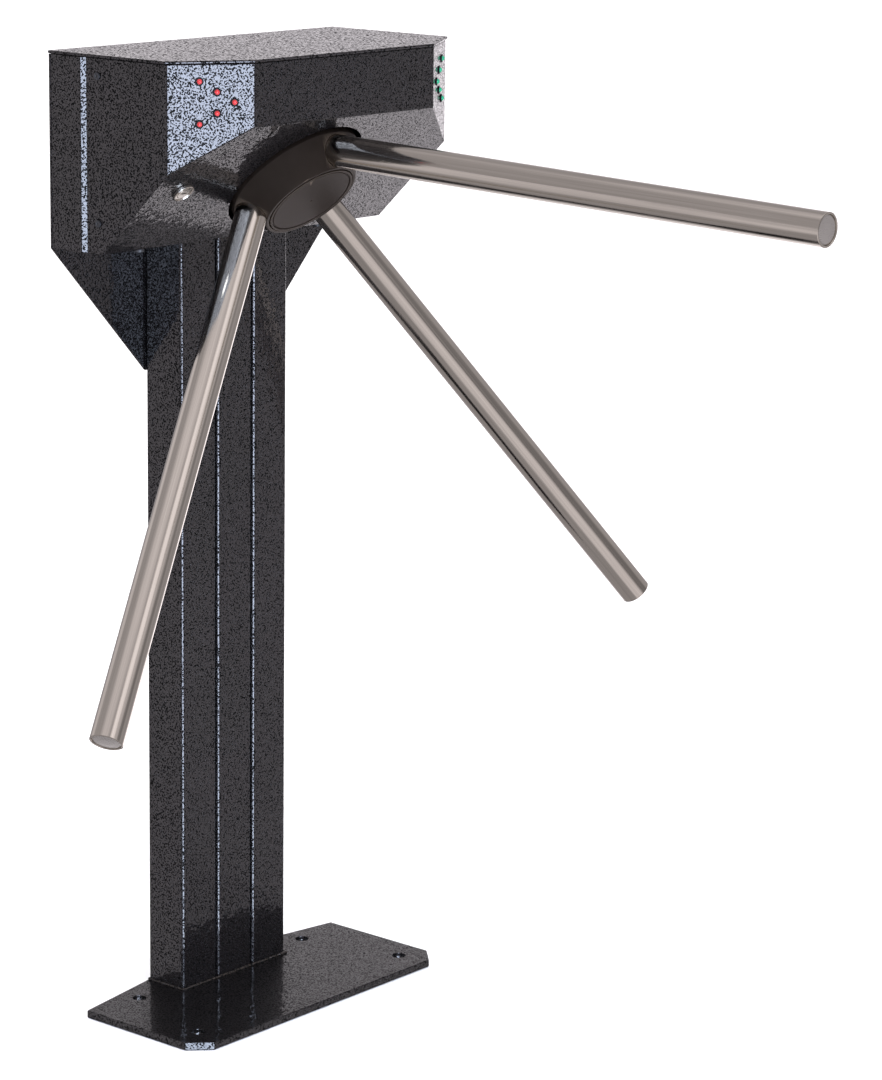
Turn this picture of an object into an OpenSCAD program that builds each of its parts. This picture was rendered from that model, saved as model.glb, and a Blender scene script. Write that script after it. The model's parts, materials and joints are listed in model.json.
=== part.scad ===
// Waist-high tripod turnstile: a sheet-steel box on a post of three square tubes,
// with a hub on a tilted shaft that carries three arms.
// The origin is on the floor under the middle of the column. +X is the way people walk,
// -Y is the side with the hub and the arms, +Z is up.

/* [Base plate] */
// Length of the base plate along the walkway
plate_length = 372; // [300:1:450]
// Distance from the column's middle to the plate's front edge
plate_front = 153; // [120:1:220]
// Distance from the column's middle back to the plate's end corners
plate_end_back = 6; // [-5:1:20]
// Thickness of the base plate
plate_thick = 8; // [6:0.5:16]
// Size of the cut-off front corners
plate_corner_cut = 21; // [8:1:35]
// Diameter of the floor-bolt holes
bolt_hole_d = 14; // [10:0.5:18]
// Distance between the two front floor bolts
front_bolt_spacing = 308; // [240:1:320]
// Distance of the front floor bolts from the plate's front edge
front_bolt_inset = 33; // [20:1:50]
// Distance between the two rear floor bolts
rear_bolt_spacing = 248; // [200:1:280]
// Distance of the rear floor bolts in front of the plate's end corners
rear_bolt_inset = 13.5; // [12:0.5:30]
// Diameter of the cable hole under the middle tube
cable_hole_d = 40; // [20:1:42]

/* [Column] */
// Width of each square tube
tube_size = 50; // [45:1:60]
// Wall of the square tubes
tube_wall = 3; // [2:0.5:4]
// Outer corner radius of the square tubes
tube_corner_r = 3.5; // [3.2:0.1:6]
// Width of the weld seam between two tubes
tube_gap = 2.5; // [1:0.5:5]
// Leg of the weld round the column's foot
weld_leg = 4; // [2:0.5:7]

/* [Box] */
// Height of the box's underside above the floor
box_bottom = 789; // [700:1:850]
// Height of the box's sheet walls
box_height = 188; // [170:1:220]
// Length of the front hood along the walkway
hood_length = 404; // [380:1:440]
// Distance from the column's middle to the hood's front face
hood_front = 173; // [165:1:190]
// Height of the slanted hub panel
panel_rise = 128; // [122:1:140]
// Length of each cut-off front corner along the walkway
corner_cut_length = 72; // [60:1:80]
// Depth of each cut-off front corner
corner_cut_depth = 45; // [35:1:55]
// Thickness of the hood's sheet
hood_sheet = 2; // [1:0.5:3]
// Thickness of the rear chassis's sheet
chassis_sheet = 2; // [1.5:0.5:3]
// Amount that the rear chassis stands proud of the hood at each end
chassis_step = 2.5; // [1:0.5:6]
// Distance from the column's middle to the front of the chassis's proud ends
chassis_reach = 15; // [5:1:25]
// Thickness of the back panel
back_sheet = 3; // [2:0.5:5]
// Distance that the back panel runs down behind the column
gusset_drop = 136; // [80:1:200]
// Thickness of the lid
lid_thick = 3; // [1.5:0.5:5]
// Overhang of the lid past the hood's front
lid_overhang = 1; // [0:0.5:3]
// Depth of the lid's inner lip
lid_lip = 12; // [8:1:25]

/* [Hub] */
// Angle of the hub's shaft below level
hub_tilt = 46; // [43:1:47]
// Angle between the shaft and each arm
arm_splay = 44; // [43:0.5:46]
// Radius of the round opening in the hub panel
hub_hole_r = 76; // [75:0.5:84]
// Radius of the hub's rim
hub_rim_r = 71.5; // [70:0.5:73]
// Height of the rim's edge in front of the hub panel
hub_rim_height = 5; // [4.5:0.5:6]
// Height of the hub's conical part
hub_cone_height = 25; // [24.5:0.5:26]
// Radius of the hub's front face
hub_face_r = 51; // [50.8:0.1:51.6]
// Radius of the cap's recess
cap_recess_r = 47.6; // [38:0.2:47.8]
// Depth of the cap's recess
cap_recess = 3; // [2.5:0.1:3.2]
// Radius of the hub's inner cavity
hub_cavity_r = 24; // [22:0.5:25]
// Depth of the hub's back face behind the hub panel
hub_back = 32; // [30:1:34]
// Thickness of the hub's back wall
hub_wall = 8; // [6:0.5:9]

/* [Arms] */
// Outer diameter of the arms
arm_d = 32; // [28:0.5:32.5]
// Wall of the arms
arm_wall = 2; // [1.5:0.5:3]
// Distance from the point where the arms' axes meet to an arm's tip
arm_reach = 662; // [560:1:720]
// Depth of the point where the arms' axes meet, behind the hub panel
arm_apex_depth = 46.5; // [46:0.1:47]
// Distance along an arm from that point to its socket's floor
arm_socket_start = 58; // [56:0.5:62]
// Depth of the arms' end caps inside the tubes
end_cap_length = 16; // [8:1:30]
// Thread diameter of the arm bolts
arm_bolt_d = 10; // [8:1:10]

/* [Shaft and bearings] */
// Diameter of the shaft
shaft_d = 30; // [28:1:32]
// Outer diameter of the bearings
bearing_d = 55; // [54:1:60]
// Width of the bearings
bearing_w = 13; // [12:1:14]
// Number of balls in each bearing
ball_count = 11; // [9:1:11]
// Length of the bearing housing
housing_length = 54; // [50:1:58]
// Thickness of the mechanism plate
mech_plate_thick = 6; // [5:0.5:8]
// Radius of the index disc
index_r = 48; // [46:0.5:50]
// Number of notches round the index disc
notch_count = 6; // [3:3:12]
// Teeth of the gear on the shaft
gear_teeth = 56; // [52:4:56]
// Teeth of the damper's pinion
pinion_teeth = 14; // [13:1:14]
// Module of the gear teeth
gear_module = 1.5; // [1.4:0.05:1.55]

/* [Signals and lock] */
// Diameter of the signal lights
led_d = 5; // [3:0.5:5]
// Outer diameter of the lights' bezels
bezel_d = 7.4; // [6.6:0.1:9]
// Step between the lights along the cut-off corner
led_step_along = 17; // [10:1:18]
// Step between the lights upwards
led_step_up = 10; // [9:0.5:12]
// Distance of the lights' middle below the box's top
led_drop = 36; // [34:1:45]
// Distance from the box's middle to the lock
lock_offset = 160; // [145:1:165]
// Diameter of the lock's face
lock_face_d = 22; // [20:0.5:26]

/* [Hidden] */
$fn = 96;

// One overrun for every cut
cut = 1;
// Clearances: seats, running fits, holes round screws and room for moving pieces
seat_gap = 0.3;
fit_gap = 0.05;
screw_gap = 0.5;
free_gap = 2;

// Colours as in the photograph
hammered = [0.17, 0.17, 0.20];
steel = [0.74, 0.73, 0.71];
dark_plastic = [0.05, 0.05, 0.06];
bronze_brown = [0.20, 0.17, 0.16];
nickel = [0.78, 0.76, 0.72];
zinc = [0.66, 0.67, 0.69];
brass = [0.78, 0.62, 0.30];
board_green = [0.05, 0.30, 0.16];

// Column
tube_pitch = tube_size + tube_gap;
column_half = tube_pitch + tube_size / 2;
column_back = tube_size / 2;
seam_recess = 1.5;

// Base plate
plate_half = plate_length / 2;
plate_back = column_back;
front_bolt_y = -plate_front + front_bolt_inset;
rear_bolt_y = plate_end_back - rear_bolt_inset;

// Box outline
hood_half = hood_length / 2;
chassis_half = hood_half + chassis_step;
box_top = box_bottom + box_height;
panel_run = panel_rise * tan(hub_tilt);
panel_top = box_bottom + panel_rise;
panel_foot = -hood_front + panel_run;
panel_mid_y = -hood_front + panel_run / 2;
panel_mid_z = box_bottom + panel_rise / 2;
corner_turn = atan(corner_cut_depth / corner_cut_length);
floor_top = box_bottom + chassis_sheet;
flange_outer = hood_half - hood_sheet - seat_gap;
flange_reach = 60;
step_turn = 45;
step_run = (chassis_half - flange_outer) / tan(step_turn);
hood_rear = -chassis_reach - step_run - seat_gap;
lid_rear_overhang = 1;
lid_lip_wall = 1.5;
lid_play = 1.2;
lid_inset = hood_sheet + chassis_sheet + lid_play;
wall_cut = 3 * (hood_sheet + chassis_sheet);

// Head plate on top of the tubes, inside the box
head_half = 140;
head_front = 38;
head_thick = 6;
head_hole_r = 15;
head_top = floor_top + head_thick;

// Side brackets and the mechanism plate
bracket_x = 130;
bracket_thick = 10;
bracket_back = 20;
bracket_back_height = 55;
bracket_depth = 27;
hub_room = 8;
mech_front = hub_back + hub_room;
mech_back = mech_front + mech_plate_thick;
mech_half = 140;
mech_up = 75;
mech_down = 80;
bracket_up = 60;
m6_r = 3;
m6_head_r = 5;
m6_head = 6;

// Shaft stack, as depths behind the hub panel
shaft_r = shaft_d / 2;
flange_r = 30;
flange_thick = 6;
collar_r = 18;
bearing_r = bearing_d / 2;
front_bearing_at = mech_back + seat_gap;
housing_end = mech_back + housing_length;
rear_bearing_at = housing_end - bearing_w;
inner_ring_r = 18.6;
outer_ring_r = 23.8;
ball_pitch_r = (shaft_r + bearing_r) / 2;
ball_r = 3.4;
race_gap = 0.1;
housing_r = 36;
housing_flange_r = 50;
housing_flange = 8;
housing_bolt_r = 43;
shoulder_r = 24;
cover_thick = 3;
cover_hole_r = 19.5;
rear_collar = 6;
gear_at = housing_end + rear_collar;
gear_thick = 6;
gear_boss = 4;
gear_boss_r = 21;
index_at = gear_at + gear_thick + gear_boss;
index_thick = 8;
notch_w = 11;
notch_depth = 7;
encoder_boss = 6;
encoder_boss_r = 18;
encoder_at = index_at + index_thick + encoder_boss;
encoder_thick = 1.5;
encoder_r = 36;
window_count = 12;
window_w = 5;
window_h = 5;
window_inset = 2.5;
nut_at = encoder_at + encoder_thick;
nut_thick = 9;
nut_r = 19;
nut_slots = 4;
nut_slot_w = 5;
nut_slot_depth = 3;
shaft_end = nut_at + nut_thick + free_gap;
key_w = 6;
key_stand = 2.5;
key_sink = 3.5;
key_length = index_at + index_thick - gear_at;

// Bridge plate over the bearing housing
bridge_sink = 2;
bridge_at = housing_end - bridge_sink;
bridge_thick = 4;
bridge_top = bridge_at + bridge_thick;
bridge_half = 156;
bridge_up = 48;
bridge_down = 60;
bridge_hole_r = 39;
pillar_r = 6;
pillar_x = 112;
pillar_u = 40;
pillar_thread_r = 3;

// Gears
tooth_root_share = 1.25;
root_turn_share = 0.3;
tip_turn_share = 0.1;
gear_pitch_r = gear_module * gear_teeth / 2;
pinion_pitch_r = gear_module * pinion_teeth / 2;
gear_distance = gear_pitch_r + pinion_pitch_r;
damper_r = 13;
damper_length = 34;
damper_ear_r = 5;
damper_ear_x = 19;
damper_ear = 3;
damper_screw_r = 2;
damper_screw_head_r = 3.5;
damper_screw_head = 2;
pinion_shaft_r = 3.5;

// Pawls, their solenoids and plungers
pawl_x = 80;
pawl_pivot_u = -40;
pawl_w = 12;
pawl_at = index_at;
pawl_thick = index_thick;
pawl_room = 6.4;
pawl_nose_x = index_r + pawl_room;
pawl_nose_w = 8;
pawl_pin_r = 4;
pawl_pin_collar_r = 7;
pawl_boss_r = 9;
pawl_head_r = 6.5;
pawl_head = 3;
drive_u = 14;
drive_pin_r = 2.5;
drive_slot_extra = 0.8;
pawl_top = 7;
plunger_r = 5;
plunger_fork_w = 16;
plunger_fork_h = 11;
plunger_fork_x = 70;
plunger_neck_x = 93;
plunger_tail_x = 130;
plunger_axis_at = pawl_at + pawl_thick / 2;
solenoid_near_x = 106;
solenoid_far_x = 152;
solenoid_h = 26;
solenoid_depth = 24;
solenoid_bore_end_x = 142;

// Position sensor
sensor_post_x = 46;
sensor_post_u = -38;
sensor_post_r = 4;
sensor_room = 5.5;
sensor_arm_at = encoder_at + encoder_thick + sensor_room;
sensor_arm_thick = 2;
sensor_x = 41;
sensor_w = 16;
sensor_h = 18;
sensor_slot = 3.5;
sensor_slot_depth = 10;

// Control board on the back panel
board_half = 85;
board_low = 14;
board_h = 62;
board_thick = 1.6;
board_stand = 6;
standoff_r = 3;
standoff_inset = 6;
standoff_nut = 2;
relay_l = 19;
relay_w = 15;
relay_h = 12;
terminal_l = 30;
terminal_w = 10;
terminal_h = 9;
chip_size = 18;
chip_h = 2;
capacitor_r = 5;
capacitor_h = 13;
part_edge = 8;

// Hub and arms
arm_r = arm_d / 2;
socket_gap = 0.1;
hub_face = hub_rim_height + hub_cone_height;
plug_length = 28;
plug_gap = 0.05;
bolt_head_r = 8;
bolt_head = 10;
bolt_seat_at = 42;
bolt_spot_r = 9;
hub_bolt_count = 3;
hub_bolt_pitch_r = 16;
// Midway between the arms
hub_bolt_turn = 30;
cap_thick = 3;
cap_gap = 0.8;
cap_spigot_r = hub_cavity_r - seat_gap;
cap_spigot_wall = 2;
cap_spigot = 6;
cap_mark_r = 1.2;
cap_mark = 0.6;
end_cap_sink = 0.6;
arm_edge = 0.5;

// Lock
lock_body_r = 9.4;
lock_body_length = 22;
lock_face = 2.5;
lock_plug_r = 6.5;
lock_slot_w = 1.6;
lock_slot_l = 8;
lock_slot_depth = 4;
lock_nut_r = 13;
lock_nut_thick = 4;
cam_thick = 2.5;
cam_w = 12;
cam_length = 32;
cam_screw_r = 4;
cam_screw_head = 3;

// Signal lights
led_shift = 5.5;
bezel_stand = 1;
led_board_depth = 9;
led_board_l = 52;
led_board_h = 56;
led_post_r = 2.5;
led_post_x_share = 0.44;
led_post_y_share = 0.36;

// Hood screws
hood_screw_r = 2;
hood_screw_head_r = 3.6;
hood_screw_head = 1.8;
hood_screw_y = -36;
hood_screw_drop = 17;
hood_screw_low = 30;
hood_nut_r = 4;
hood_nut = 3;

// Grommet in the base plate's cable hole
grommet_wall = 2;
grommet_lip = 3;

// Frames used by the sub-parts

// Frame of the hub panel: the z axis points out along the hub's shaft, the y axis up the panel
module on_hub_axis() {
    translate([0, panel_mid_y, panel_mid_z]) rotate([90 + hub_tilt, 0, 0]) children();
}

// The same frame, moved inwards by a depth, for pieces that are drawn outwards from there
module at_depth(depth) {
    on_hub_axis() translate([0, 0, -depth]) children();
}

// Frame of one arm: the z axis runs out along the arm from the point where the axes meet
module along_arm(number) {
    on_hub_axis() translate([0, 0, -arm_apex_depth])
        rotate([0, 0, number * 120]) rotate([-arm_splay, 0, 0]) children();
}

// Frame of the left cut-off corner: z points out, x towards the front face, y up from the box's top
module on_left_corner() {
    translate([-hood_half + corner_cut_length / 2, -hood_front + corner_cut_depth / 2, box_top])
        rotate([0, 0, -corner_turn]) rotate([90, 0, 0]) children();
}

module on_both_corners() {
    on_left_corner() children();
    mirror([1, 0, 0]) on_left_corner() children();
}

// Places of the five lights of a chevron, relative to its middle
led_places = [for (step = [-2:2]) [led_shift + led_step_along * (1 - abs(step)), led_step_up * step]];

// Shared shapes

module ring(outer_r, inner_r, height) {
    difference() {
        cylinder(r = outer_r, h = height);
        translate([0, 0, -cut]) cylinder(r = inner_r, h = height + 2 * cut);
    }
}

// A shape given in depth and height, drawn across the walkway and centred on it
module across(width) {
    rotate([90, 0, 90]) translate([0, 0, -width / 2]) linear_extrude(width) children();
}

// A square with round corners, made of circles and bars
module round_square(size, corner) {
    square([size - 2 * corner, size], center = true);
    square([size, size - 2 * corner], center = true);
    for (x = [-1, 1], y = [-1, 1])
        translate([x * (size / 2 - corner), y * (size / 2 - corner)]) circle(r = corner);
}

module socket_screw(length, shank_r, head_r, head_h) {
    translate([0, 0, -length]) cylinder(r = shank_r, h = length);
    difference() {
        cylinder(r = head_r, h = head_h);
        translate([0, 0, head_h / 2]) cylinder(r = head_r / 2, h = head_h, $fn = 6);
    }
}

// Straight-sided gear teeth with running play, as a flat outline
module gear_outline(teeth) {
    pitch_r = gear_module * teeth / 2;
    root_r = pitch_r - tooth_root_share * gear_module;
    tip_r = pitch_r + gear_module;
    root_turn = 360 / teeth * root_turn_share;
    tip_turn = 360 / teeth * tip_turn_share;
    polygon([for (i = [0:teeth - 1]) each [
        let (a = 360 / teeth * i - root_turn) root_r * [cos(a), sin(a)],
        let (a = 360 / teeth * i - tip_turn) tip_r * [cos(a), sin(a)],
        let (a = 360 / teeth * i + tip_turn) tip_r * [cos(a), sin(a)],
        let (a = 360 / teeth * i + root_turn) root_r * [cos(a), sin(a)]
    ]]);
}

// Pedestal

plate_outline = [
    [-plate_half, plate_end_back],
    [-plate_half, -plate_front + plate_corner_cut],
    [-plate_half + plate_corner_cut, -plate_front],
    [plate_half - plate_corner_cut, -plate_front],
    [plate_half, -plate_front + plate_corner_cut],
    [plate_half, plate_end_back],
    [column_half, plate_back],
    [-column_half, plate_back]
];

module base_plate() {
    color(hammered) difference() {
        linear_extrude(plate_thick) polygon(plate_outline);
        for (side = [-1, 1]) {
            translate([side * front_bolt_spacing / 2, front_bolt_y, -cut])
                cylinder(d = bolt_hole_d, h = plate_thick + 2 * cut);
            translate([side * rear_bolt_spacing / 2, rear_bolt_y, -cut])
                cylinder(d = bolt_hole_d, h = plate_thick + 2 * cut);
        }
        translate([0, 0, -cut]) cylinder(d = cable_hole_d, h = plate_thick + 2 * cut);
    }
}

module column_tube(place) {
    color(hammered) translate([place * tube_pitch, 0, plate_thick])
        linear_extrude(floor_top - plate_thick) difference() {
            round_square(tube_size, tube_corner_r);
            round_square(tube_size - 2 * tube_wall, tube_corner_r - tube_wall);
        }
}

// Seams between the tubes, and a fillet weld round the foot
module welds() {
    color(hammered) {
        for (side = [-1, 1])
            translate([side * tube_pitch / 2, 0, (plate_thick + floor_top) / 2])
                cube([tube_gap, tube_size - 2 * (tube_corner_r + seam_recess),
                      floor_top - plate_thick], center = true);
        translate([0, 0, plate_thick]) difference() {
            hull() {
                translate([-column_half - weld_leg, -column_back - weld_leg, 0])
                    cube([2 * column_half + 2 * weld_leg, 2 * column_back + weld_leg, seat_gap]);
                translate([-column_half, -column_back, 0])
                    cube([2 * column_half, 2 * column_back, weld_leg]);
            }
            translate([-column_half, -column_back, -cut])
                cube([2 * column_half, 2 * column_back + cut, weld_leg + 2 * cut]);
        }
    }
}

module head_plate() {
    color(zinc) difference() {
        translate([-head_half, -head_front, floor_top])
            cube([2 * head_half, head_front + column_back - seat_gap, head_thick]);
        for (place = [-1:1])
            translate([place * tube_pitch, 0, floor_top - cut])
                cylinder(r = head_hole_r, h = head_thick + 2 * cut);
        frame_holes();
    }
}

module back_panel() {
    color(hammered) translate([0, column_back + back_sheet, 0]) rotate([90, 0, 0])
        linear_extrude(back_sheet) polygon([
            [-chassis_half, box_top],
            [-chassis_half, box_bottom],
            [-column_half, box_bottom - gusset_drop],
            [column_half, box_bottom - gusset_drop],
            [chassis_half, box_bottom],
            [chassis_half, box_top]
        ]);
}

// One end of the chassis seen from above: a proud part, a slanted step and a flange
// that lies behind the end of the hood
chassis_end = [
    [chassis_half, column_back],
    [chassis_half, -chassis_reach],
    [flange_outer, -chassis_reach - step_run],
    [flange_outer, -flange_reach],
    [flange_outer - chassis_sheet, -flange_reach],
    [flange_outer - chassis_sheet, -chassis_reach - step_run + chassis_sheet * tan(step_turn / 2)],
    [chassis_half - chassis_sheet, -chassis_reach + chassis_sheet * tan(step_turn / 2)],
    [chassis_half - chassis_sheet, column_back]
];

chassis_floor = [
    [-flange_outer, panel_foot + 2 * free_gap],
    [flange_outer, panel_foot + 2 * free_gap],
    [flange_outer, -chassis_reach - step_run],
    [chassis_half, -chassis_reach],
    [chassis_half, column_back],
    [-chassis_half, column_back],
    [-chassis_half, -chassis_reach],
    [-flange_outer, -chassis_reach - step_run]
];

module rear_chassis() {
    color(hammered) difference() {
        union() {
            for (side = [0, 1]) mirror([side, 0, 0])
                intersection() {
                    translate([0, 0, box_bottom]) linear_extrude(box_height) polygon(chassis_end);
                    across(2 * chassis_half + 2 * cut) panel_side(hood_sheet + seat_gap, cut);
                }
            translate([0, 0, box_bottom]) linear_extrude(chassis_sheet) polygon(chassis_floor);
        }
        translate([-column_half - seat_gap, -column_back - seat_gap, box_bottom - cut])
            cube([2 * column_half + 2 * seat_gap, 2 * column_back + seat_gap + cut,
                  chassis_sheet + 2 * cut]);
        frame_holes();
        hood_screw_places() cylinder(r = hood_screw_r + fit_gap, h = wall_cut, center = true);
    }
}

// Side view of the hood, drawn in depth and height and set inwards by a wall
module panel_side(inset, overrun) {
    front = -hood_front + inset;
    bend = inset * tan(hub_tilt / 2);
    foot = panel_foot + inset / cos(hub_tilt);
    polygon([
        [front, box_top + overrun],
        [front, panel_top + bend],
        [foot + overrun * tan(hub_tilt), box_bottom - overrun],
        [column_back + back_sheet, box_bottom - overrun],
        [column_back + back_sheet, box_top + overrun]
    ]);
}

// Plan of the hood, set inwards by a wall
module hood_plan(inset, rear) {
    side = hood_half - inset;
    front = -hood_front + inset;
    side_bend = -hood_front + corner_cut_depth + inset * tan((90 - corner_turn) / 2);
    front_bend = hood_half - corner_cut_length - inset * tan(corner_turn / 2);
    polygon([
        [-side, rear],
        [-side, side_bend],
        [-front_bend, front],
        [front_bend, front],
        [side, side_bend],
        [side, rear]
    ]);
}

module front_hood() {
    color(hammered) difference() {
        intersection() {
            translate([0, 0, box_bottom]) linear_extrude(box_height) hood_plan(0, hood_rear);
            across(hood_length + 2 * cut) panel_side(0, 0);
        }
        intersection() {
            translate([0, 0, box_bottom - cut]) linear_extrude(box_height + 2 * cut)
                hood_plan(hood_sheet, hood_rear + cut);
            across(hood_length + 2 * cut) panel_side(hood_sheet, 2 * cut);
        }
        on_hub_axis() {
            cylinder(r = hub_hole_r, h = wall_cut, center = true);
            translate([-lock_offset, 0, 0])
                cylinder(r = lock_body_r + screw_gap, h = wall_cut, center = true);
        }
        on_both_corners() for (place = led_places)
            translate([place.x, place.y - led_drop, 0])
                cylinder(d = led_d + 2 * screw_gap, h = wall_cut, center = true);
        hood_screw_places() cylinder(r = hood_screw_r + fit_gap, h = wall_cut, center = true);
    }
}

// Screws through the ends of the hood, drawn outwards
module hood_screw_places() {
    for (side = [0, 1]) mirror([side, 0, 0])
        for (height = [box_top - hood_screw_drop, box_bottom + hood_screw_low])
            translate([-hood_half, hood_screw_y, height]) rotate([0, -90, 0]) children();
}

module hood_screws() {
    color(dark_plastic) hood_screw_places() {
        inside = hood_half - flange_outer + chassis_sheet;
        translate([0, 0, -inside - hood_nut]) cylinder(r = hood_screw_r, h = inside + hood_nut);
        difference() {
            cylinder(r = hood_screw_head_r, h = hood_screw_head);
            translate([0, 0, hood_screw_head / 2])
                cylinder(r = hood_screw_r / 2, h = hood_screw_head, $fn = 6);
        }
        translate([0, 0, -inside - hood_nut]) ring(hood_nut_r, hood_screw_r, hood_nut);
    }
}

module lid() {
    color(hammered) translate([0, 0, box_top + seat_gap]) {
        side = chassis_half + lid_overhang / 2;
        front = -hood_front - lid_overhang;
        back = column_back + back_sheet + lid_rear_overhang;
        linear_extrude(lid_thick) polygon([
            [-side, back],
            [-side, -hood_front + corner_cut_depth],
            [-hood_half + corner_cut_length, front],
            [hood_half - corner_cut_length, front],
            [side, -hood_front + corner_cut_depth],
            [side, back]
        ]);
        translate([0, 0, -lid_lip]) linear_extrude(lid_lip) difference() {
            hood_plan(lid_inset, column_back - free_gap);
            hood_plan(lid_inset + lid_lip_wall, column_back - free_gap - lid_lip_wall);
        }
    }
}

// Lock, signal lights

module on_lock() {
    on_hub_axis() translate([-lock_offset, 0, 0]) children();
}

module lock_housing() {
    color(nickel) on_lock() {
        difference() {
            union() {
                cylinder(d = lock_face_d, h = lock_face);
                translate([0, 0, -lock_body_length]) cylinder(r = lock_body_r, h = lock_body_length);
            }
            translate([0, 0, -lock_body_length - cut])
                cylinder(r = lock_plug_r + fit_gap, h = lock_body_length + lock_face + 2 * cut);
        }
        translate([0, 0, -hood_sheet - seat_gap - lock_nut_thick]) difference() {
            cylinder(r = lock_nut_r, h = lock_nut_thick, $fn = 6);
            translate([0, 0, -cut]) cylinder(r = lock_body_r + fit_gap, h = lock_nut_thick + 2 * cut);
        }
    }
}

module lock_plug() {
    color(nickel) on_lock() difference() {
        translate([0, 0, -lock_body_length - seat_gap])
            cylinder(r = lock_plug_r, h = lock_body_length + lock_face + 2 * seat_gap);
        translate([0, 0, lock_face + seat_gap - lock_slot_depth / 2 + cut / 2])
            cube([lock_slot_l, lock_slot_w, lock_slot_depth + cut], center = true);
    }
}

// Tongue of the lock with its screw
module lock_cam() {
    color(zinc) on_lock() translate([0, 0, -lock_body_length - seat_gap - cam_thick]) {
        linear_extrude(cam_thick) {
            circle(d = cam_w);
            translate([-cam_w / 2, -cam_length]) square([cam_w, cam_length]);
        }
        translate([0, 0, -cam_screw_head]) cylinder(r = cam_screw_r, h = cam_screw_head);
    }
}

module led_boards() {
    color(board_green) on_both_corners() translate([led_shift, -led_drop, 0]) {
        translate([-led_board_l / 2, -led_board_h / 2, -hood_sheet - led_board_depth])
            cube([led_board_l, led_board_h, board_thick]);
        for (x = [-1, 1], y = [-1, 1])
            translate([x * led_post_x_share * led_board_l, y * led_post_y_share * led_board_h,
                       -hood_sheet - led_board_depth + board_thick])
                cylinder(r = led_post_r, h = led_board_depth - board_thick);
    }
}

// Round lights with a domed top that stand on their board
module leds() {
    for (place = led_places) translate([place.x, place.y - led_drop, 0]) {
        base = -hood_sheet - led_board_depth + board_thick;
        translate([0, 0, base]) cylinder(d = led_d, h = bezel_stand - base);
        translate([0, 0, bezel_stand]) intersection() {
            sphere(d = led_d);
            translate([0, 0, led_d / 2]) cube(led_d, center = true);
        }
    }
}

module red_leds() {
    color([0.75, 0.10, 0.08]) on_left_corner() leds();
}

module green_leds() {
    color([0.10, 0.62, 0.40]) mirror([1, 0, 0]) on_left_corner() leds();
}

module led_bezels() {
    color(dark_plastic) on_both_corners() for (place = led_places)
        translate([place.x, place.y - led_drop, 0]) {
            ring(bezel_d / 2, led_d / 2 + fit_gap, bezel_stand);
            translate([0, 0, -hood_sheet])
                ring(led_d / 2 + screw_gap - fit_gap, led_d / 2 + fit_gap, hood_sheet);
        }
}

// Frame of the mechanism

// Screw holes from the box's floor up through the head plate
module frame_holes() {
    for (side = [-1, 1], y = [-head_front / 2, bracket_back / 2])
        translate([side * bracket_x, y, box_bottom - cut])
            cylinder(r = m6_r + fit_gap, h = chassis_sheet + head_thick + 2 * cut);
}

module bracket(side) {
    screw_deep = 3 * m6_head;
    plate_foot_y = panel_mid_y + mech_back * cos(hub_tilt) + mech_down * sin(hub_tilt);
    plate_foot_z = panel_mid_z + mech_back * sin(hub_tilt) - mech_down * cos(hub_tilt);
    plate_head_y = panel_mid_y + mech_back * cos(hub_tilt) - bracket_up * sin(hub_tilt);
    plate_head_z = panel_mid_z + mech_back * sin(hub_tilt) + bracket_up * cos(hub_tilt);
    color(zinc) difference() {
        translate([side * bracket_x, 0, 0]) across(bracket_thick) polygon([
            [-head_front, head_top],
            [bracket_back, head_top],
            [bracket_back, head_top + bracket_back_height],
            [plate_head_y + bracket_depth * cos(hub_tilt), plate_head_z + bracket_depth * sin(hub_tilt)],
            [plate_head_y, plate_head_z],
            [plate_foot_y, plate_foot_z]
        ]);
        for (y = [-head_front / 2, bracket_back / 2])
            translate([side * bracket_x, y, head_top - cut])
                cylinder(r = m6_r + fit_gap, h = screw_deep + cut);
        at_depth(mech_back + screw_deep) for (u = [-mech_down / 2, bracket_up / 2])
            translate([side * bracket_x, u, 0]) cylinder(r = m6_r + fit_gap, h = screw_deep + cut);
    }
}

// Screws that hold the brackets down, and the mechanism plate to the brackets
module frame_screws() {
    screw_deep = 3 * m6_head - seat_gap;
    color(zinc) {
        for (side = [-1, 1], y = [-head_front / 2, bracket_back / 2])
            translate([side * bracket_x, y, box_bottom]) mirror([0, 0, 1])
                socket_screw(chassis_sheet + head_thick + screw_deep, m6_r, m6_head_r, m6_head);
        at_depth(mech_front) for (side = [-1, 1], u = [-mech_down / 2, bracket_up / 2])
            translate([side * bracket_x, u, 0])
                socket_screw(mech_plate_thick + screw_deep, m6_r, m6_head_r, m6_head);
    }
}

module mechanism_plate() {
    color(zinc) at_depth(mech_back) difference() {
        translate([-mech_half, -mech_down, 0]) cube([2 * mech_half, mech_down + mech_up, mech_plate_thick]);
        translate([0, 0, -cut]) cylinder(r = collar_r + 2 * free_gap, h = mech_plate_thick + 2 * cut);
        for (turn = [45:90:315]) rotate(turn) translate([housing_bolt_r, 0, -cut])
            cylinder(r = m6_r + fit_gap, h = mech_plate_thick + 2 * cut);
        for (side = [-1, 1], u = [-mech_down / 2, bracket_up / 2]) translate([side * bracket_x, u, -cut])
            cylinder(r = m6_r + fit_gap, h = mech_plate_thick + 2 * cut);
        for (x = [-1, 1], u = [-1, 1]) translate([x * pillar_x, u * pillar_u, -cut])
            cylinder(r = pillar_thread_r + fit_gap, h = mech_plate_thick + 2 * cut);
    }
}

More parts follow.
